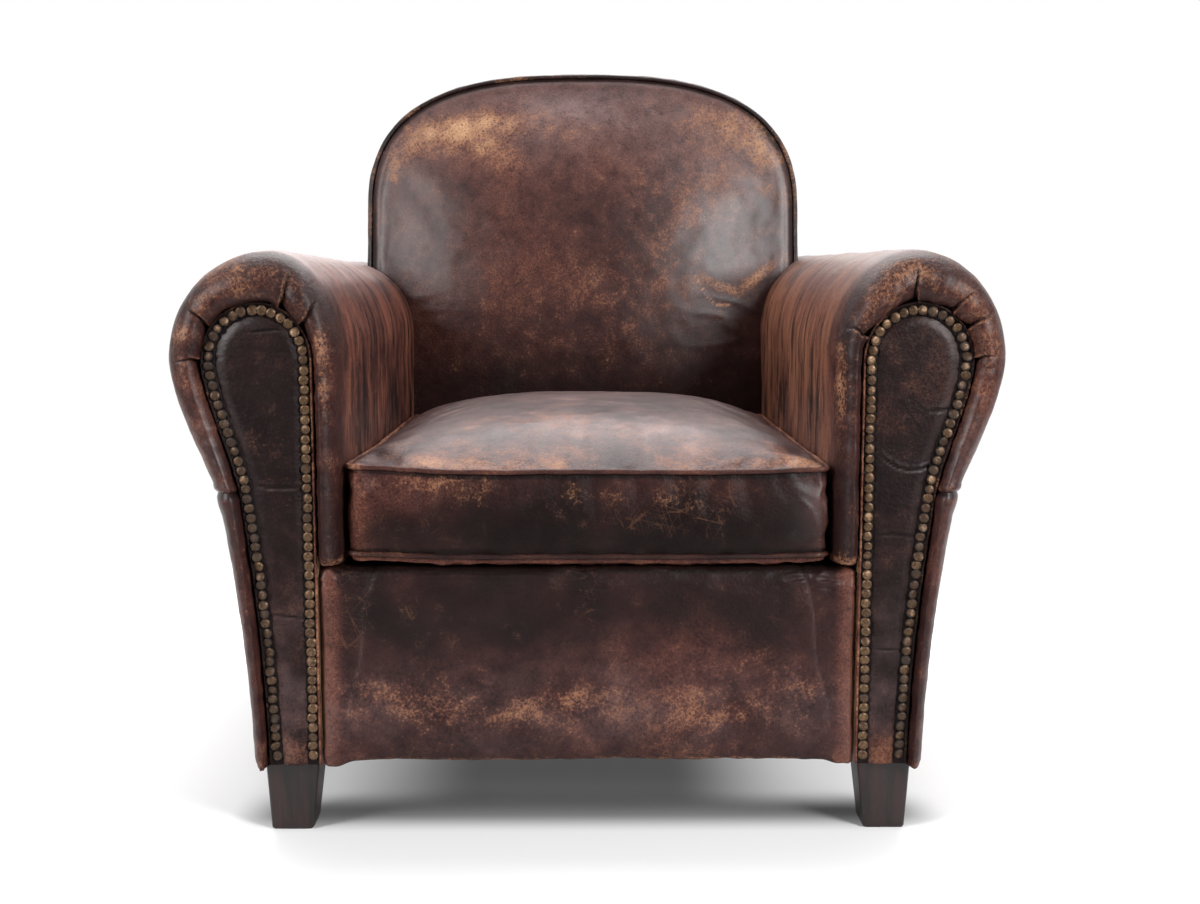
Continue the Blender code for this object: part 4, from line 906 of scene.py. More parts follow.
# %% [markdown]
# ## Nail strip and brass nails
# A narrow strip of hide covers the panel's cut edge, and close-set domed nails hold it down. The ridge of the strip
# outside them is worn pale. There are nearly a hundred nails an arm, so a dome has only a few dozen faces: one
# template of rings is copied to every place by adding arrays. Each is a little off line, tilted and tarnished on its
# own.

# %% Strips and nails
STRIP_COUNT = 560
STRIP = np.array(  # the strip's section: distance outwards from the nail line, and depth
    [
        (-0.0066, 0.0022), (-0.0066, 0.0009), (-0.0050, 0.0003), (0.0, 0.0001), (0.0050, 0.0001), (0.0058, -0.0008),
        (0.0067, -0.0013), (0.0077, -0.0009), (0.0082, 0.0004), (0.0074, 0.0021), (0.0, 0.0023),
    ]
)
NAIL_RINGS = np.array([(1.0, -0.25), (1.0, 0.30), (0.91, 0.70), (0.68, 0.93), (0.34, 0.99)])  # radius and height
NAIL_RIM = (1.0, 0.90, 0.42, 0.08, 0.0)  # how dark each ring is
SPOKES = 11
spoke = np.linspace(0, 2 * math.pi, SPOKES, endpoint=False)
radius, height = NAIL_RINGS[:, :1], np.repeat(NAIL_RINGS[:, 1:], SPOKES, 1)
dome = np.stack([radius * np.cos(spoke), height, radius * np.sin(spoke)], -1).reshape(-1, 3)
dome = np.vstack([dome, [(0, 1.0, 0)]])
top = len(dome) - 1
dome_faces = quads(len(NAIL_RINGS), SPOKES, wrap=True).tolist()
dome_faces += [[top - SPOKES + k, top - SPOKES + (k + 1) % SPOKES, top] for k in range(SPOKES)]
dome_faces += [list(range(SPOKES))[::-1]]

for side, word in SIDES:
    run = np.linspace(0, LINE_RUN[-1], STRIP_COUNT)
    q = np.interp(run, LINE_RUN, LINE_Q)
    rows = ((*(np.interp(q, LINE_Q, line) for line in nail_line(LINE_Q, by)), d) for by, d in STRIP)
    points = np.stack([at(side * x, d, z) for x, z, d in rows], 1)
    ragged = 0.0005 * noise(points, 70, 101) + 0.0003 * noise(points, 260, 103)
    points[..., 1] += ragged
    away = np.broadcast_to(STRIP[None, :, 0], ragged.shape)
    points[..., 2] += (away > 0.005) * ragged * 1.5
    ridge = ease(away, 0.0050, 0.0060) * (0.40 + 0.60 * ease(run, 0.46, 0.36))[:, None]
    # Painted shade: the strip lies in the groove by the nails, so it is painted nearly black, all but its worn ridge.
    paint = clipped(1.2, rub=ridge * (0.45 + 0.5 * noise(points, 40, 107)), soil=1.2 - 1.1 * ridge, warm=ridge)
    inside, faces = at(side * 0.32, 0.0012, 0.3), tube(STRIP_COUNT, len(STRIP))
    make_piece(f"{word}_nail_strip", points, HIDE, inside=inside, faces=faces, paint=paint)

    random = np.random.default_rng(7 + side)
    number = round((LINE_RUN[-1] - 2 * NAIL_PITCH) / NAIL_PITCH) + 1
    where = np.linspace(NAIL_PITCH, LINE_RUN[-1] - NAIL_PITCH, number) + random.normal(0, 0.00028, number)
    nq = np.interp(where, LINE_RUN, LINE_Q)
    nx, nz = (np.interp(nq, LINE_Q, line)[:, None] for line in LINE.T)
    nx = nx + random.normal(0, 0.00035, number)[:, None]
    outer_row = ease(nq, 1.3, 2.0)
    size = NAIL_RADIUS * (1 + random.normal(0, 0.035, number))
    tilt = random.normal(0, 0.13, (number, 2)) * (1 + outer_row[:, None])
    grime = 0.20 + 0.62 * outer_row + 0.15 * ease(nz[:, 0], 0.30, 0.12) + random.normal(0, 0.26, number)
    dent = 1 + 0.10 * noise(dome[None] * 1.3 + np.arange(number)[:, None, None] * 3.1, 1.0, 109)
    local = dome[None] * np.stack([size, np.full(number, NAIL_HEIGHT), size], 1)[:, None]
    out = local[..., 1] * dent - local[..., 0] * tilt[:, :1] - local[..., 2] * tilt[:, 1:]
    points = at(side * (nx + local[..., 0]), 0.0002 - out, nz + local[..., 2])
    faces = [[v + n * len(dome) for v in face] for n in range(number) for face in dome_faces]
    rim = np.append(np.repeat(NAIL_RIM, SPOKES), 0.0)
    paint = {"rim": np.tile(rim, number), "grime": np.repeat(np.clip(grime, 0, 1.3), len(dome))}
    nails = make_piece(f"{word}_nails", points, BRASS, (f"{word}_nail_trim",), faces=faces, paint=paint)
    if nails.data.polygons[len(dome_faces) - 2].normal.y > 0:
        nails.data.flip_normals()
    print(word, "nails:", number)

# %% [markdown]
# ## The inside back
# The back is an arch of hide over a thick pad, deepest in the middle. Level rows run from edge to edge between two
# sides of the outline, and a second measure, the share of the way from the middle to the edge, gives the crown:
# crown times one minus share to the power 2.6. Old stuffing has settled, so shallow hollows and drag lines cross it.


# %% The back's outline and crown
def back_edge(inset, a):
    """x and z of the arch seen from the front for angles 0 to pi: a superellipse on straight sides."""
    half, rise, power = BACK_HALF - inset, BACK_TOP - inset - BACK_SPRING, 2 / BACK_SQUARENESS
    return np.sign(np.cos(a)) * half * np.abs(np.cos(a)) ** power, BACK_SPRING + rise * np.abs(np.sin(a)) ** power


def back_path(inset, bottom, count):
    """The whole outline, up the right side, over the arch and down the left, at even distances."""
    x, z = back_edge(inset, np.linspace(0, math.pi, 721))
    half = BACK_HALF - inset
    return evenly(np.array([[half, *x, -half], [bottom, *z, bottom]]).T, count)


def share_out(x, z, inset):
    """Share of the way from the back's middle to its edge, in the direction of each point."""
    ex, ez = back_path(inset, BACK_BOTTOM + inset * 1.5, 2400)
    ex, ez = np.append(ex, np.linspace(ex[-1], ex[0], 400)), np.append(ez, np.full(400, ez[0]))
    angle, far = np.arctan2(ez - BACK_MIDDLE, ex), np.hypot(ex, ez - BACK_MIDDLE)
    order = np.argsort(angle)
    reach = np.interp(np.arctan2(z - BACK_MIDDLE, x), angle[order], far[order], period=2 * math.pi)
    return np.clip(np.hypot(x, z - BACK_MIDDLE) / reach, 0, 1)


BACK_INSET, LEVEL_ROWS, BACK_COLUMNS = 0.0100, 110, 216
arch_x, arch_z = back_edge(BACK_INSET, np.linspace(0, math.pi / 2, 84))
half = np.concatenate([np.full(LEVEL_ROWS, arch_x[0]), arch_x[1:-1], [arch_x[-2] * 0.45]])
height = np.concatenate([np.linspace(BACK_BOTTOM + 0.015, BACK_SPRING, LEVEL_ROWS), arch_z[1:]])
x = half[:, None] * spread(lambda s: 1 + 2.2 * hill(np.abs(s), 1, 0.10), -1, 1, BACK_COLUMNS)[None]
z = np.broadcast_to(height[:, None], x.shape)
share, flat = share_out(x, z, BACK_INSET), at(x, 0, z)
drag = np.stack([x * 0.30, 0 * x, z], -1)
slack = 0.0022 * rough(flat, 7, 201) + 0.0007 * rough(flat, 26, 203)
slack += 0.0016 * wrinkles(drag, 34, 207, 0.2) * spots(x, z, (1, 0.215, 0.50, 0.075, 0.055))
slack += 0.0013 * wrinkles(drag, 30, 211, 0.2) * spots(x, z, (1, -0.235, 0.50, 0.060, 0.060))
slack += 0.0004 * wrinkles(flat * (1, 1, 0.5), 26, 213, 0.2) * ease(share, 0.80, 0.97)
crown = BACK_CROWN * (1 - share**2.6) + slack * ease(share, 1.0, 0.90) + 0.0016 * hill(share, 0.975, 0.02)
points = at(x + BACK_SHIFT, welt_depth(z) + 0.001 - crown, z)
wander = rough(flat, 13, 217)
rub = 0.04 + 0.12 * wander + spots(
    x, z,
    (0.95, -0.165, 0.762, 0.066, 0.024, 12), (0.62, -0.235, 0.742, 0.044, 0.020, 40),
    (0.40, -0.060, 0.768, 0.080, 0.022), (0.36, -0.262, 0.705, 0.010, 0.030, 8),
    (0.52, -0.130, 0.735, 0.064, 0.024, -20), (0.66, 0.235, 0.752, 0.045, 0.028, -38),
    (0.36, 0.180, 0.775, 0.045, 0.025), (0.34, 0.255, 0.700, 0.020, 0.040),
    (1.15, 0.240, 0.560, 0.024, 0.008, 38), (1.00, 0.190, 0.548, 0.024, 0.006, -24),
    (0.30, 0.15, 0.66, 0.11, 0.14), (0.18, 0.02, 0.50, 0.16, 0.08),
)
scuff = hill(z, 0.5605 - 0.9 * (x - 0.162) - 0.02 * np.sin((x - 0.15) * 60), 0.0014)
rub = rub * (0.85 + 0.5 * noise(flat, 48, 219)) + 1.3 * scuff * ease(np.abs(x - 0.178), 0.030, 0.022)
# Dark paint: random grime, darker towards the bottom and in a few patches, and painted shade in the groove by the welt.
soil = 0.30 * wander + 0.62 * ease(z, 0.54, 0.38) + 0.85 * ease(share, 0.965, 1.0)
soil += spots(x, z, (0.30, 0.02, 0.60, 0.10, 0.08), (0.30, -0.16, 0.66, 0.06, 0.05), (0.7, 0.27, 0.50, 0.03, 0.04))
soil += spots(x, z, (0.5, 0.258, 0.752, 0.03, 0.04, -45))
warm = 0.38 + 0.40 * ease(z, 0.60, 0.76) + spots(x, z, (0.35, -0.10, 0.60, 0.12, 0.08)) + 0.3 * wander
# Painted sheen: the top of the back and the upright highlight on its right are painted paler.
bloom = 0.16 * ease(z, 0.55, 0.75) + spots(x, z, (0.62, 0.0, 0.785, 0.20, 0.06), (0.35, 0.195, 0.64, 0.07, 0.09))
polish = 0.16 + 0.45 * ease(z, 0.68, 0.78) + 0.4 * hill(share, 0.955, 0.02)
polish += spots(x, z, (0.42, -0.225, 0.62, 0.07, 0.13), (1.05, 0.195, 0.63, 0.10, 0.13))
polish -= spots(x, z, (0.7, 0.212, 0.552, 0.050, 0.018))
paint = clipped(rub=rub, soil=soil, warm=warm, bloom=bloom, polish=polish)
solids, inside = ("inside_back_cover", "back_pad"), at(0, 1.2, 0.55)
make_piece("inside_back", points, HIDE, solids, inside, wall=HIDE_WALL, paint=paint)
print("inside back grid", x.shape)

# %% [markdown]
# ## Back welt, border and outside back
# A cord covered in hide is sewn between the inside back and a narrow border that wraps round to the rear. It is
# thin, dark and a little wavy. The outside back closes the frame with one flat panel, blind-stitched round its edge.

# %% The welt round the back
BACK_CORD_RADIUS = 0.0029
x, z = back_path(0.0065, BACK_BOTTOM + 0.006, 620)
line = at(x + BACK_SHIFT, welt_depth(z), z)
line = line + np.stack([0.0005 * noise(line, 26, 221), 0.0004 * noise(line, 33, 223), 0.0005 * noise(line, 29, 225)], 1)
paint = clipped(0.8, rub=0.12 + 0.5 * noise(line, 14, 231), polish=0.5)
paint |= clipped(1.2, soil=0.40 + 0.6 * noise(line, 20, 229))
radius = BACK_CORD_RADIUS * (1 + 0.08 * noise(line, 60, 227))
make_cord("back_cord", line, radius, (0, 1, -0.16), HIDE, ("back_welt",), paint)

# %% The border that wraps round the back's edge
BORDER_STOPS = np.array([(0.0084, 0.0030), (0.0056, 0.0062), (0.0018, 0.0140), (0.0, 0.0400)])  # inset, depth
BORDER_COLUMNS = 300
rows = []
for inset, d in through(np.arange(4), BORDER_STOPS, np.linspace(0, 3, 16)):
    x, z = back_path(inset, BACK_BOTTOM + 0.002, BORDER_COLUMNS)
    rows.append(at(x + BACK_SHIFT, welt_depth(z) + d, z))
x, z = back_path(0.0006, BACK_BOTTOM + 0.002, BORDER_COLUMNS)
rear = at(x + BACK_SHIFT, rear_depth(z) - LEATHER - GAP, z)
rows += [rows[-1] + (rear - rows[-1]) * s for s in np.linspace(0, 1, 22)[1:]]
points, inside = np.stack(rows, 0), at(0, 0.7, 0.5)
points = raised(points, 0.0011 * rough(points, 17, 233) + 0.0004 * rough(points, 60, 235), inside)
shade = np.broadcast_to(ease(np.arange(len(rows)), 5, 0)[:, None], points.shape[:2])
paint = {"soil": 0.35 + 0.6 * shade, "warm": 0.3 + 0.3 * rough(points, 11, 237)}
paint |= clipped(1, rub=0.1 + 0.3 * rough(points, 9, 239))
make_piece("back_side_band", points, HIDE, ("back_border",), inside, wall=HIDE_WALL, paint=paint)

# %% [markdown]
# The outside back also closes the rear ends of both arms, so its outline is the arch with a shoulder on each side.
# Columns of the grid stand upright: each runs from the lower edge to the upper edge at its own x, which follows the
# shoulders without a break.

# %% The outside back panel
INSET, STEP = 0.0005, 0.0004  # inside the solid's edge, and past the arch's side
fine = np.linspace(0, 4, 3001)
edges, arch, shoulders = {}, {}, {}
for side, _ in SIDES:
    x, z = arm_outline(side, fine, INNER_BOTTOM, REAR_FOOT, rear_depth(ARM_SPRING))
    edges[side] = (x - TOE_IN * rear_depth(z), z)
    widest = edges[side][0].max() - STEP
    arch[side] = BACK_HALF + side * BACK_SHIFT - INSET
    shoulders[side] = spread(lambda s: 1 + 2 * hill(s, widest, 0.01), arch[side] + STEP, widest, 34)
middle = spread(lambda s: 1 + 1.5 * hill(np.abs(s), 0.30, 0.02), -arch[-1], arch[1], 150)
columns = np.concatenate([-shoulders[-1][::-1], middle, shoulders[1]])
arch_x, arch_z = back_edge(INSET, np.linspace(0, math.pi, 2001))
top = np.interp(columns - BACK_SHIFT, arch_x[::-1], arch_z[::-1])
foot = np.full(len(columns), REAR_FOOT)
for side, _ in SIDES:
    ax, az = edges[side]
    out = columns * side
    upper, lower = (fine >= 1) & (fine <= 2), (fine >= 2) & (ax >= ax[-1])
    top = np.where(out > arch[side], np.interp(out, ax[upper], az[upper]), top)
    foot = np.where(out > ax[-1], np.interp(out, ax[lower][::-1], az[lower][::-1]), foot)
v = spread(lambda s: 1 + 2 * hill(s, 0, 0.03) + 2 * hill(s, 1, 0.03), 0, 1, 116)[:, None]
x = np.broadcast_to(columns[None], (len(v), len(columns)))
z = foot[None] + (np.maximum(top, foot + 1e-4) - foot)[None] * v
gap = far_from(x, z, np.concatenate([np.stack([columns, top], 1), np.stack([columns, foot], 1)]))
flat = at(x, 0, z)
proud = 0.0030 * ease(gap, 0, 0.006) - 0.0012 * hill(gap, 0.012, 0.004) - 0.0030 + 0.0006 * rough(flat, 22, 303)
proud += 0.0016 * ease(gap, 0.01, 0.16) * (1 + rough(flat, 5, 301))
wander = rough(flat, 9, 305)
rub = 0.30 * hill(gap, 0.003, 0.003) + 0.25 * ease(z, 0.70, 0.82) + 0.16 * wander
rub += spots(x, z, (0.3, 0.30, 0.55, 0.10, 0.03))
# Dark paint: painted shade in the stitched groove inside the edge, darker towards the bottom, and random grime.
soil = 0.30 * hill(gap, 0.013, 0.003) + 0.45 * ease(z, 0.22, 0.09) + 0.35 * wander
paint = clipped(1, rub=rub, warm=0.35 + 0.4 * rough(flat, 6, 307)) | clipped(1.2, soil=soil) | {"bloom": 0.0}
points, inside = at(x, rear_depth(z) + proud, z), at(0, 0.2, 0.4)
make_piece("outside_back", points, HIDE, ("outside_back_cover",), inside, wall=HIDE_WALL, paint=paint)
print("outside back grid", x.shape)

# %% [markdown]
# ## The loose cushion
# The cushion is a box of hide: a crowned top, a flatter underside and a boxing strip, sewn together at two corded
# seams. Its body starts as one closed grid. A short cloth simulation then does what stuffing does: the seams are
# held, the hide is given nearly two per cent more length than it needs, and air pressure fills it out, so it puckers by
# itself. A long move is drawn in smoothly, so the cushion keeps to the space of its solid.

# %% The cushion's outline
CUSHION_MIDDLE = (CUSHION_FRONT + CUSHION_REAR) / 2


def cushion_half(d, inset):
    """Half width at a depth: a straight taper to the rear, less a quarter circle at each corner."""
    front, rear, r = CUSHION_FRONT + inset, CUSHION_REAR - inset, CUSHION_CORNER - inset
    share = (d - CUSHION_FRONT) / (CUSHION_REAR - CUSHION_FRONT)
    taper = CUSHION_HALF_FRONT + (CUSHION_HALF_REAR - CUSHION_HALF_FRONT) * share
    near = np.clip(r - np.minimum(d - front, rear - d), 0, r)
    return taper - inset - r + np.sqrt(np.maximum(r * r - near * near, 0))


def seam_wave(x, d):
    """How far a seam wanders: noise of a millimetre or so, and both front corners pulled up, the left one most."""
    where = at(x, d, 0.0)
    corners = 0.0060 * hill(x, -0.2405, 0.085) + 0.0030 * hill(x, 0.2405, 0.070) - 0.0012
    return 0.0013 * noise(where, 9, 401) + 0.0006 * noise(where, 31, 403) + corners * ease(d, 0.16, 0.0)


def cushion_loop(count):
    """The closed outline from above at even distances, from the front's left, to the right and round."""
    turn = CUSHION_CORNER * (1 - np.cos(np.linspace(0, math.pi / 2, 14)))
    d = np.concatenate([CUSHION_FRONT + turn, np.linspace(0.04, 0.50, 60), CUSHION_REAR - turn[::-1]])
    half = np.stack([cushion_half(d, 0.0), d], 1)
    loop = np.concatenate([half, half[::-1] * (-1, 1)])
    return evenly(np.vstack([loop, loop[:1]]), count, endpoint=False)


# %% The cushion's body before it is filled
CUSHION_LINES, BOXING_STEPS, BOXING_SWELL = 84, 17, 0.0022


def cushion_body():
    """One closed grid mesh: top, boxing and underside share the points of their seams."""
    front, rear, r = CUSHION_FRONT + CUSHION_INSET, CUSHION_REAR - CUSHION_INSET, CUSHION_CORNER - CUSHION_INSET
    turn = r * (1 - np.cos(np.linspace(0, math.pi / 2, 7)))
    d = np.concatenate([front + turn, np.linspace(front + r, rear - r, CUSHION_LINES)[1:-1], rear - turn[::-1]])
    u = np.linspace(-1, 1, CUSHION_LINES)
    x = cushion_half(d, CUSHION_INSET)[:, None] * u[None]
    d = np.broadcast_to(d[:, None], x.shape)
    across = np.maximum(np.abs(u)[None], np.abs(x) / CUSHION_HALF_FRONT)
    along = np.abs(d - CUSHION_MIDDLE) / (CUSHION_REAR - CUSHION_MIDDLE - CUSHION_INSET)
    dome = np.maximum((1 - across**2.6) * (1 - along**2.6), 0) ** 0.7
    wave = seam_wave(x, d)
    top = at(x, d, TOP_WELT_Z + wave + (CUSHION_CROWN - 0.003) * dome).reshape(-1, 3)
    base = at(x, d, CUSHION_LIP + wave * 0.6 - (CUSHION_LIP - CUSHION_BASE) * dome).reshape(-1, 3)
    index = np.arange(x.size).reshape(x.shape)
    loop = np.concatenate([index[0, :-1], index[:-1, -1], index[-1, :0:-1], index[:0:-1, 0]])
    share = (np.arange(1, BOXING_STEPS) / BOXING_STEPS)[:, None, None]
    strip = top[loop] * (1 - share) + base[loop] * share
    strip += unit((strip - at(0, CUSHION_MIDDLE, 0.33)) * (1, 1, 0)) * BOXING_SWELL * np.sin(math.pi * share)
    n, m = x.size, len(loop)
    rings = [loop, *(2 * n + np.arange(strip.shape[0] * m).reshape(-1, m)), n + loop]
    faces = [quads(*x.shape), quads(*x.shape)[:, ::-1] + n]
    faces += [np.stack([a, b, np.roll(b, -1), np.roll(a, -1)], 1) for a, b in itertools.pairwise(rings)]
    return np.vstack([top, base, strip.reshape(-1, 3)]), np.vstack(faces), np.concatenate([loop, n + loop])


def shown(piece):
    """Points and four-cornered faces of a piece as its modifiers leave it."""
    mesh = piece.evaluated_get(bpy.context.evaluated_depsgraph_get()).to_mesh()
    return read(mesh.vertices, "co", 3), read(mesh.loops, "vertex_index", kind=np.int32).reshape(-1, 4)


# %% Fill it
FILL_FRAMES, FILL_REACH = 18, 0.0085


def filled(points, faces, held):
    """The body after a cloth simulation under pressure; a move is drawn in: reach * tanh(move / reach)."""
    bag = new_object("cushion_bag", new_mesh("cushion_bag", points, faces))
    bag.vertex_groups.new(name="held").add(held.tolist(), 1.0, "REPLACE")
    cloth = bag.modifiers.new("filling", "CLOTH")
    s = cloth.settings
    s.quality, s.mass, s.vertex_group_mass = 7, 0.5, "held"
    s.tension_stiffness = s.compression_stiffness = 30
    s.shear_stiffness, s.bending_stiffness = 12, 4.0
    s.shrink_min = -0.017
    s.use_pressure, s.uniform_pressure_force = True, 3.4
    s.effector_weights.gravity = 0
    s.air_damping = 2.0
    cloth.point_cache.frame_start, cloth.point_cache.frame_end = 1, FILL_FRAMES
    for frame_number in range(1, FILL_FRAMES + 1):
        bpy.context.scene.frame_set(frame_number)
    move = shown(bag)[0] - points
    size = np.linalg.norm(move, axis=1, keepdims=True)
    print("cushion moved, mm: mean", round(size.mean() * 1000, 2), "most", round(size.max() * 1000, 1))
    bpy.context.scene.frame_set(1)
    bpy.data.objects.remove(bag)
    return points + move * FILL_REACH * np.tanh(size / FILL_REACH) / np.maximum(size, 1e-9)


points, faces, held = cushion_body()
points = filled(points, faces, held)
bag = new_object("cushion_smooth", new_mesh("cushion_smooth", points, faces))
smooth = bag.modifiers.new("finer", "SUBSURF")
smooth.levels = smooth.render_levels = 1
points, faces = shown(bag)
bpy.data.objects.remove(bag)
print("cushion points:", len(points))

# %% Fine puckers, paint and the finished cushion
centre = at(0, CUSHION_MIDDLE, 0.335)
x, d, z = points[:, 0], points[:, 1] - FRONT_Y, points[:, 2]
top_seam = TOP_WELT_Z + seam_wave(x, d)
half = cushion_half(np.clip(d, CUSHION_FRONT + 0.002, CUSHION_REAR - 0.002), CUSHION_INSET)
inward = np.minimum(half - np.abs(x), d - CUSHION_FRONT)
on_side = ease(inward, 0.0040, 0.0) * ease(z, 0.277, 0.281) * ease(z, top_seam + 0.002, top_seam - 0.002)
from_seam = np.minimum(np.abs(z - top_seam), np.abs(z - BOTTOM_WELT_Z))
from_seam = from_seam * on_side + (1 - on_side) * np.maximum(inward, 0)
ways = (x, d, z * 0.2), (x * 0.45 + d * 0.2, d - x * 0.25, z), (x * 1.2, d, z * 0.7)
around, long_fold, steep = (np.stack(way, 1) for way in ways)
pucker = 0.0008 * noise(around, 75, 411) * hill(from_seam, 0.005, 0.009) * ease(from_seam, 0, 0.003)
pucker += 0.00035 * rough(points, 70, 413)
folds = 0.0010 * rough(long_fold, 11, 415, 2)
folds += 0.0012 * wrinkles(long_fold, 9, 419) * spots(x, d, (1, -0.02, 0.20, 0.10, 0.12))
pucker += (1 - on_side) * folds * ease(inward, 0.01, 0.06)
corner = spots(x, z, (1, 0.232, 0.345, 0.030, 0.045)) * on_side * ease(0.10 - d, 0, 0.05)
pucker += 0.0022 * wrinkles(steep, 38, 417, 0.3) * corner
mesh = new_mesh("cushion_normals", points, faces)
n = read(mesh.vertex_normals, "vector", 3)
n *= np.sign((n * unit((points - centre) * (1, 1, 3.2))).sum(1).mean())
points = points + n * pucker[:, None]
bpy.data.meshes.remove(mesh)

wander = rough(points, 15, 421)
front_edge = hill(d, 0.014, 0.014) * ease(z, top_seam - 0.001, top_seam + 0.004)
lid, under = (1 - on_side) * ease(z, 0.36, 0.378), ease(z, 0.2885, 0.2865)
rub = 0.32 * front_edge * (0.9 + wander) + lid * (0.16 * hill(d, 0.045, 0.04) + 0.14 * (0.6 + wander))
rub += lid * spots(x, d, (0.55, 0.225, 0.02, 0.025, 0.025), (0.2, -0.05, 0.12, 0.09, 0.04))
boxing = 0.12 * wander + 0.04 * ease(z, 0.325, 0.355)
boxing += spots(x, z, (0.34, -0.165, 0.362, 0.060, 0.009), (0.30, -0.228, 0.33, 0.010, 0.045))
boxing += spots(x, z, (0.15, -0.04, 0.350, 0.09, 0.020), (0.14, 0.10, 0.345, 0.07, 0.02))
# Dark paint on the boxing: darker all over but less at the left and the ends, darkest low down; painted shade by both
# cords.
soil = 0.56 + 0.5 * wander - 0.30 * ease(x, 0.0, -0.15) - 0.06 * ease(z, 0.335, 0.360)
soil = soil * ease(np.abs(x), 0.238, 0.20) + 0.5 * hill(z, 0.31, 0.03)
soil += hill(z, top_seam - 0.0045, 0.0022) + 0.9 * hill(z, BOTTOM_WELT_Z + 0.0075, 0.0022)
warm = 0.30 * ease(x, -0.10, -0.20) + 0.4 * ease(np.abs(x), 0.20, 0.24) - 0.12
# Painted sheen: the middle of the lid and the puckered corner on the right are painted paler.
paint = clipped(
    rub=rub + boxing * on_side,
    soil=soil * on_side - 0.9 * under,
    warm=0.38 + 0.35 * wander + warm * on_side + 0.6 * under,
    bloom=lid * (0.50 + 0.35 * wander) + 0.20 * corner,
    polish=0.72 * lid * (0.30 + 0.70 * ease(d, 0.01, 0.12)) + 0.50 * corner + 0.03 * on_side,
    scratch=on_side * (0.30 + spots(x, z, (0.7, 0.09, 0.33, 0.10, 0.04))),
)
solids = ("cushion_top_panel", "cushion_bottom_panel", "cushion_boxing", "cushion_core")
make_piece("seat_cushion", points, HIDE, solids, centre, faces, paint=paint)

# %% The cushion's corded seams
CORDS = (  # name, height, share of the seam's wander, radius, how much darker it is painted, first seed
    ("top", TOP_WELT_Z, 1.0, 0.0026, 0.40, 431),
    ("bottom", BOTTOM_WELT_Z + 0.0032, 0.6, 0.0027, 0.75, 441),
)
for name, height, share, radius, darkness, seed in CORDS:
    x, d = cushion_loop(620)
    line = at(x, d, height + seam_wave(x, d) * share)
    line[:, 1] += 0.0005 * noise(line, 24, seed)
    worn = 0.12 + 0.4 * noise(line, 18, seed + 1) + 0.30 * hill(np.abs(x), 0.238, 0.02)
    paint = clipped(1, rub=worn, warm=0.75, soil=darkness - worn * 0.6, polish=0.20)
    radius = radius * (1 + 0.12 * noise(line, 55, seed + 2))
    make_cord(f"cushion_{name}_cord", line, radius, (0, 0, 1), HIDE, (f"cushion_{name}_welt",), paint, closed=True)

# %% [markdown]
# ## The apron
# The front of the seat is covered by one piece that starts under the cushion, turns over the rail and hangs to the
# lower edge, where it is turned under. It is a profile carried across the width. Its ends roll back beside the
# nails, the lower edge is a little ragged, and shoes have scuffed a pale band along the lower third.

# %% The apron
APRON_PROFILE = np.array(  # depth and height
    [
        (0.0600, 0.2764), (0.0400, 0.2764), (0.0230, 0.2764), (0.0130, 0.2762), (0.0050, 0.2730), (0.0004, 0.2640),
        (-0.0018, 0.2450), (-0.0020, 0.2100), (-0.0015, 0.1800), (-0.0008, 0.1300), (0.0006, 0.0850),
        (0.0016, 0.0792), (0.0042, 0.0772), (0.0080, 0.0790), (0.0085, 0.0860),
    ]
)
run = lengths(APRON_PROFILE)
places = spread(lambda s: 1 + 1.6 * hill(s, run[12], 0.02) + 1.2 * hill(s, run[4], 0.02), 0, run[-1], 118)
pd, pz = through(run, APRON_PROFILE, places)[:, None].T.swapaxes(1, 2)
half = APRON_HALF + 0.0012 - 0.0280 * ease(pd, 0.017, 0.026) * (pz > 0.27)
x = half * spread(lambda s: 1 + 2.5 * hill(np.abs(s), 1, 0.06), -1, 1, 300)[None]
wide, far, across = np.abs(x), np.abs(x) / half, at(x, 0, 0)
flat = at(x, 0, pz)
droop = -0.0060 * ease(wide, 0.236, 0.258) + 0.0014 * noise(across, 24, 451) + 0.0008 * noise(across, 75, 453)
z = pz + droop * ease(pz, 0.16, 0.079)
d = pd + 0.0085 * ease(far, 0.968, 1.0) ** 2 * (pd < 0.02)
level, tilted = flat * (0.28, 1, 1), np.stack([x * 0.8 + z * 0.7, 0 * x, z - x * 0.35], -1)
crease_x = 0.243 - 0.025 * (z - 0.118) / 0.152 + 0.002 * np.sin(z * 60)  # an upright crease at both ends
relief = 0.0016 * rough(flat, 8, 455) + 0.0006 * rough(flat, 34, 457)
relief += 0.0015 * wrinkles(level, 52, 459, 0.3) * ease(z, 0.235, 0.262) + 0.0009 * hill(z, 0.0835, 0.004)
relief += 0.0026 * wrinkles(tilted, 48, 461, 0.25) * spots(x, z, (1, 0.225, 0.262, 0.050, 0.016))
relief += 0.0022 * wrinkles(tilted * (-1, 1, 1), 60, 463, 0.25) * spots(x, z, (1, -0.255, 0.262, 0.022, 0.014))
relief -= 0.0017 * hill(wide, crease_x, 0.0028) * ease(z, 0.10, 0.13)
points = raised(at(x, d, z), relief * (pd < 0.03), at(0, 0.2, 0.2))
creased = hill(wide, crease_x, 0.0013) * ease(z, 0.11, 0.13) * ease(z, 0.275, 0.26)
wander = rough(flat, 15, 465)
scuffs = spots(
    x, z,
    (0.20, -0.215, 0.158, 0.030, 0.014), (0.25, -0.150, 0.133, 0.065, 0.018, -6),
    (0.25, -0.045, 0.136, 0.060, 0.017, 6), (0.26, 0.010, 0.137, 0.03, 0.014),
    (0.24, 0.130, 0.130, 0.050, 0.024), (0.22, 0.180, 0.182, 0.055, 0.018),
    (0.24, 0.222, 0.145, 0.014, 0.030), (0.20, 0.105, 0.205, 0.05, 0.04, 40),
)
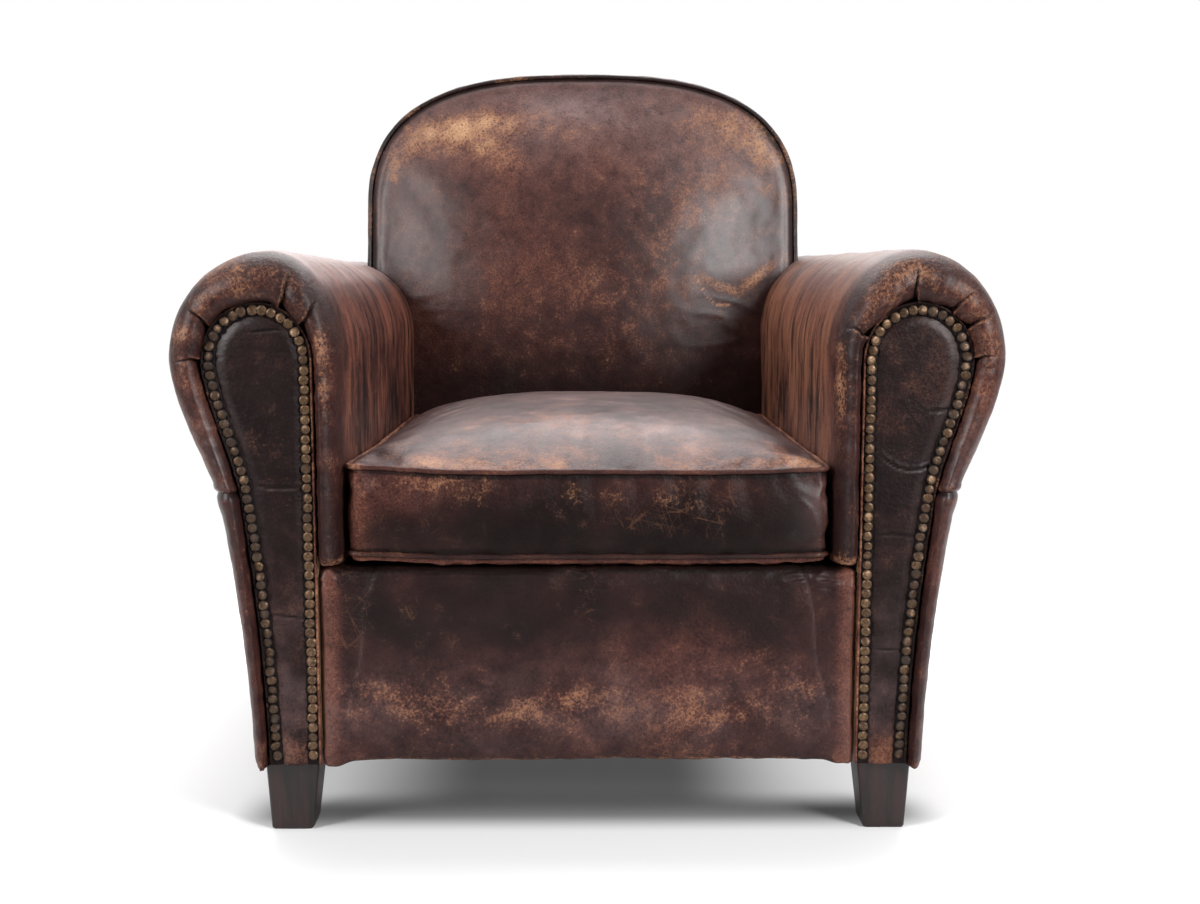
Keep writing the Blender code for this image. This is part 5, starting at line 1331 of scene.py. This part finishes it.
rub = scuffs * (0.62 + 0.7 * noise(flat, 38, 469)) + 0.13 * hill(z, 0.135, 0.036) + 0.20 * ease(far, 0.975, 0.995)
rub += 0.10 * wander + 0.04 * ease(z, 0.19, 0.12) + 0.04 * hill(z, 0.14, 0.05) + 0.10 * creased
rub += 0.45 * hill(z, 0.0785, 0.0025) * (0.6 + noise(flat, 30, 467))
# Dark paint: random grime, darker towards the top, and painted shade where the apron turns in under the cushion.
soil = 0.40 + 0.40 * wander + 0.22 * ease(z, 0.175, 0.215) + 0.8 * ease(z, 0.268, 0.277)
soil -= 0.30 * hill(z, 0.130, 0.045) + 0.9 * ease(far, 0.90, 0.97) + spots(x, z, (0.25, 0.1, 0.18, 0.08, 0.06))
greyed = 0.45 * hill(z, 0.130, 0.040) * (0.75 + 0.8 * rough(flat * (0.6, 1, 1), 26, 473))
# Painted highlight: pale lines along the upright creases, part wear and part highlight, and a little sheen on the
# rolled ends.
paint = clipped(
    rub=rub,
    soil=soil,
    warm=0.30 + 0.95 * ease(far, 0.90, 0.98) + spots(x, z, (0.35, 0.10, 0.19, 0.07, 0.05)) + 0.2 * wander,
    bloom=0.12 * ease(far, 0.95, 1.0) + 0.42 * creased + 0.9 * greyed,
    polish=0.12 + 0.28 * ease(far, 0.92, 0.98),
    scratch=0.85 + 0.5 * wander,
)
solids, inside = ("apron_cover", "apron_pad"), at(0, 0.2, 0.19)
make_piece("apron", points, HIDE, solids, inside, wall=HIDE_WALL, paint=paint)

# %% [markdown]
# ## Deck, feet and dust cover
# Under the cushion a plain cloth covers the stuffed deck. The feet are short blocks of stained wood, tapered and
# softened at their corners: each is a rounded square carried up its height. Thin black cloth closes the underside;
# it is tacked between the feet, so it sags slightly.

# %% The deck under the cushion
DECK_PROFILE = np.array(  # depth and height
    [
        (0.0045, 0.2420), (0.0040, 0.2580), (0.0075, 0.2680), (0.0150, 0.2722), (0.2, 0.2728), (0.5440, 0.2722),
        (0.5500, 0.2650), (0.5500, 0.2420),
    ]
)
DECK_LINES = 90
run = lengths(DECK_PROFILE)
places = spread(lambda s: 1 + 3 * hill(s, 0.03, 0.03), 0, run[-1], DECK_LINES)
pd, pz = through(run, DECK_PROFILE, places)[:, None].T.swapaxes(1, 2)
pz = np.minimum(pz, DECK_TOP - 0.0003)
x = (ARM_INNER - 0.0015 - TOE_IN * pd) * np.linspace(-1, 1, DECK_LINES)[None]
points = at(x, pd, pz - 0.0006 * (1 + noise(at(x, pd, 0), 20, 471)) * (pz > 0.27))
index = np.arange(x.size).reshape(x.shape)
faces = quads(*x.shape).tolist() + [index[:, 0].tolist(), index[::-1, -1].tolist(), [*index[-1, ::-1], *index[0]]]
make_piece("seat_deck", points, DECK_CLOTH, ("seat_deck_pad",), at(0, 0.27, 0.25), faces)

# %% The four feet
FOOT_FACES = ((0.2840, 0.2740), (0.3270, 0.3320), (0.0050, 0.0), (0.0480, 0.0580))  # each at the floor and at the top
FOOT_SIDES, FOOT_SQUARENESS, FOOT_EDGE = 64, 13, 0.0012


def foot_rings(side, place):
    """Rounded squares (superellipses) from the floor up: the foot widens and its inner face slopes."""
    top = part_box(f"{place}_{'left' if side < 0 else 'right'}_leg")[1][2]
    z = np.concatenate([[0.0, 0.0006, 0.0020], np.linspace(0.005, top, 14)])[:, None]
    pinch = FOOT_EDGE * (1 - ease(z, 0.0, 0.0020))
    x0, x1, near, far = (a + (b - a) * z / top + sign * pinch for (a, b), sign in zip(FOOT_FACES, (1, -1, 1, -1)))
    face, inwards = (0.0080, 1) if place == "front" else (rear_depth(0.088) - 0.004, -1)
    a = np.linspace(0, 2 * math.pi, FOOT_SIDES, endpoint=False)[None] + math.pi / FOOT_SIDES
    sx, sd = (np.sign(f(a)) * np.abs(f(a)) ** (2 / FOOT_SQUARENESS) for f in (np.cos, np.sin))
    x, d = (x0 + x1) / 2 + (x1 - x0) / 2 * sx, (near + far) / 2 + (far - near) / 2 * sd
    return at(side * x, face + inwards * d, z)


for (side, word), place in itertools.product(SIDES, ("front", "rear")):
    rings = foot_rings(side, place)
    middle, faces, solids = rings.reshape(-1, 3).mean(0), tube(*rings.shape[:2]), (f"{place}_{word}_leg",)
    make_piece(f"{place}_{word}_foot", rings, (LEG_WOOD, "stained_wood"), solids, middle, faces)

# %% The dust cover
# The cloth leaves out its corners, where the feet stand
CLOTH_X, CLOTH_D = (-0.3380, -0.2720, 0.2720, 0.3380), (0.0150, 0.0690, 0.6340, 0.6900)
CLOTH_Z, CLOTH_SAG = 0.0834, 0.0026


def through_corners(stops, ends, middle):
    """Places from the first stop to the last that include the two between them."""
    a, b, c, d = stops
    return np.concatenate([np.linspace(a, b, ends), np.linspace(b, c, middle)[1:-1], np.linspace(c, d, ends)])


x, d = np.meshgrid(through_corners(CLOTH_X, 10, 60), through_corners(CLOTH_D, 9, 70))
x = x - np.sign(x) * TOE_IN * d * (np.abs(x) > CLOTH_X[2] + 1e-6)
sag = CLOTH_SAG * (1 - (x / CLOTH_X[3]) ** 2) * (1 - ((d - 0.352) / 0.34) ** 2)
sag += 0.0005 * (1 + noise(at(x, d, 0), 14, 481))
faces = quads(*x.shape)
middle_x, middle_d = np.abs(x.ravel()[faces].mean(1)), d.ravel()[faces].mean(1)
in_corner = (middle_x > CLOTH_X[2]) & ((middle_d < CLOTH_D[1]) | (middle_d > CLOTH_D[2]))
used, faces = np.unique(faces[~in_corner], return_inverse=True)
faces = faces.reshape(-1, 4)
points = at(x, d, CLOTH_Z - np.maximum(sag, 0)).reshape(-1, 3)[used]
corners = points[faces]
cross = np.cross(corners[:, 2] - corners[:, 0], corners[:, 3] - corners[:, 1])
area = float(np.linalg.norm(cross, axis=1).sum() / 2)
dust = make_piece("underside_cloth", points, CAMBRIC, ("dust_cover",), at(0, 0.3, 0.5), faces, wall=0.0006)
print("underside cloth area, m2:", round(area, 4))

# %% [markdown]
# ## Studio
# A round white floor whose rim fades into a white room, two tall soft boxes in front and to the sides, and a broad
# soft light overhead. The side boxes give the back its two upright highlights, and the one on the right is also
# painted paler into the hide; the overhead one whitens the arms and the middle of the cushion, where a pale sheen is
# painted as well. The room is bright behind the chair and dim in front of it, so the dark hide keeps its depth. Under
# the chair the floor is painted darker, with a faint glow at both sides for the light that leaks in between the feet.
# The camera stands at about the height of the arms' crests and looks slightly down.

# %% Floor
FLOOR_RINGS, FLOOR_SPOKES = 14, 64
b = new_finish("studio_white", Roughness=0.9, Specular_IOR_Level=0.0, Emission_Strength=1.0)
place = b.place()
across = b.add("ShaderNodeSeparateXYZ", {}, {0: place}, out="X")
depth = b.add("ShaderNodeSeparateXYZ", {}, {0: place}, out="Y") - FRONT_Y
under = b.band(b.size(across), 0.385, 0.315) * b.band(depth, 0.0, 0.055) * b.band(depth, 0.84, 0.74)
b.join(b.mix((0.80, 0.80, 0.802), (0.21, 0.21, 0.211), under), "Base Color")
leaked = b.band(depth, 0.06, 0.15) * 0.075 + (
    b.band(across, -0.12, -0.30) * 0.30 + b.band(across, 0.09, 0.27) * 0.50
) * b.band(depth, 0.06, 0.13) * b.band(depth, 0.50, 0.30)
b.join(b.mix((0.0, 0.0, 0.0), (1.0, 1.0, 1.0), leaked * under), "Emission Color")
reach = b.add("ShaderNodeVectorMath", {"operation": "LENGTH"}, {0: place}, out=1)
b.join(b.band(reach, 1.6, 0.62), "Alpha")
ring, spoke = np.linspace(0.02, 2.4, FLOOR_RINGS)[:, None], np.linspace(0, 2 * math.pi, FLOOR_SPOKES, endpoint=False)
points = np.stack([ring * np.cos(spoke), ring * np.sin(spoke), 0 * ring * spoke], -1)
mesh = new_mesh("floor", points, tube(FLOOR_RINGS, FLOOR_SPOKES)[:-1])
mesh.materials.append(b.owner)
floor = new_object("floor", mesh)


# %% Lights
def soft_box(name, place, aim, size, power):
    """A rectangular area light at a place, turned towards a point."""
    light = bpy.data.lights.new(name, "AREA")
    light.shape, light.size, light.size_y, light.energy = "RECTANGLE", *size, power
    lamp = new_object(name, light)
    lamp.location = place
    run = np.array(aim) - np.array(place)
    flat = math.hypot(run[0], run[1])
    lamp.rotation_euler = (math.atan2(flat, -run[2]), 0, math.atan2(run[1], run[0]) - math.pi / 2)


soft_box("left_box", (-1.95, -1.60, 1.40), (0, 0.1, 0.55), (0.7, 1.3), 62)
soft_box("right_box", (1.65, -1.85, 1.40), (0, 0.1, 0.55), (0.7, 1.3), 78)
soft_box("overhead", (0.0, 0.80, 2.5), (0, 0.0, 0.3), (2.6, 1.6), 88)

b = Bench(bpy.data.worlds.new("studio"))
lit = b.band(b.add("ShaderNodeSeparateXYZ", {}, {0: b.place("Generated")}, out="Y"), -0.25, 0.85, 0.05, 1.7)
room = b.add("ShaderNodeBackground", {}, {"Strength": lit})
seen = b.add("ShaderNodeBackground", {}, {"Color": (1.0, 1.0, 1.0, 1.0)})
from_camera = b.add("ShaderNodeLightPath", out="Is Camera Ray")
b.join(b.add("ShaderNodeMixShader", {}, {0: from_camera, 1: room, 2: seen}), "Surface")
bpy.context.scene.world = b.owner
bpy.context.scene.view_settings.view_transform = "Standard"

# %% Camera
CAMERA_DEPTH, CAMERA_HEIGHT, HORIZON, FOCAL, WIDTH, SENSOR = -1.477, 0.581, 190.0, 1500.0, 1200, 36.0
pitch = math.atan(HORIZON / FOCAL)
yaw = math.atan(12 / FOCAL * math.cos(pitch))
lens = bpy.data.cameras.new("camera")
lens.sensor_fit, lens.sensor_width, lens.lens = "HORIZONTAL", SENSOR, FOCAL * SENSOR / WIDTH
camera = new_object("camera", lens)
camera.location = (0.0, FRONT_Y + CAMERA_DEPTH, CAMERA_HEIGHT)
camera.rotation_euler = (math.pi / 2 - pitch, 0.0, -yaw)
bpy.context.scene.camera = camera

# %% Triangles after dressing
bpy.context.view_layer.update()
meshes = [o.data for o in bpy.data.objects if o.type == "MESH" and not o.hide_render and o is not floor]
print("triangles:", sum(len(p.vertices) - 2 for mesh in meshes for p in mesh.polygons))
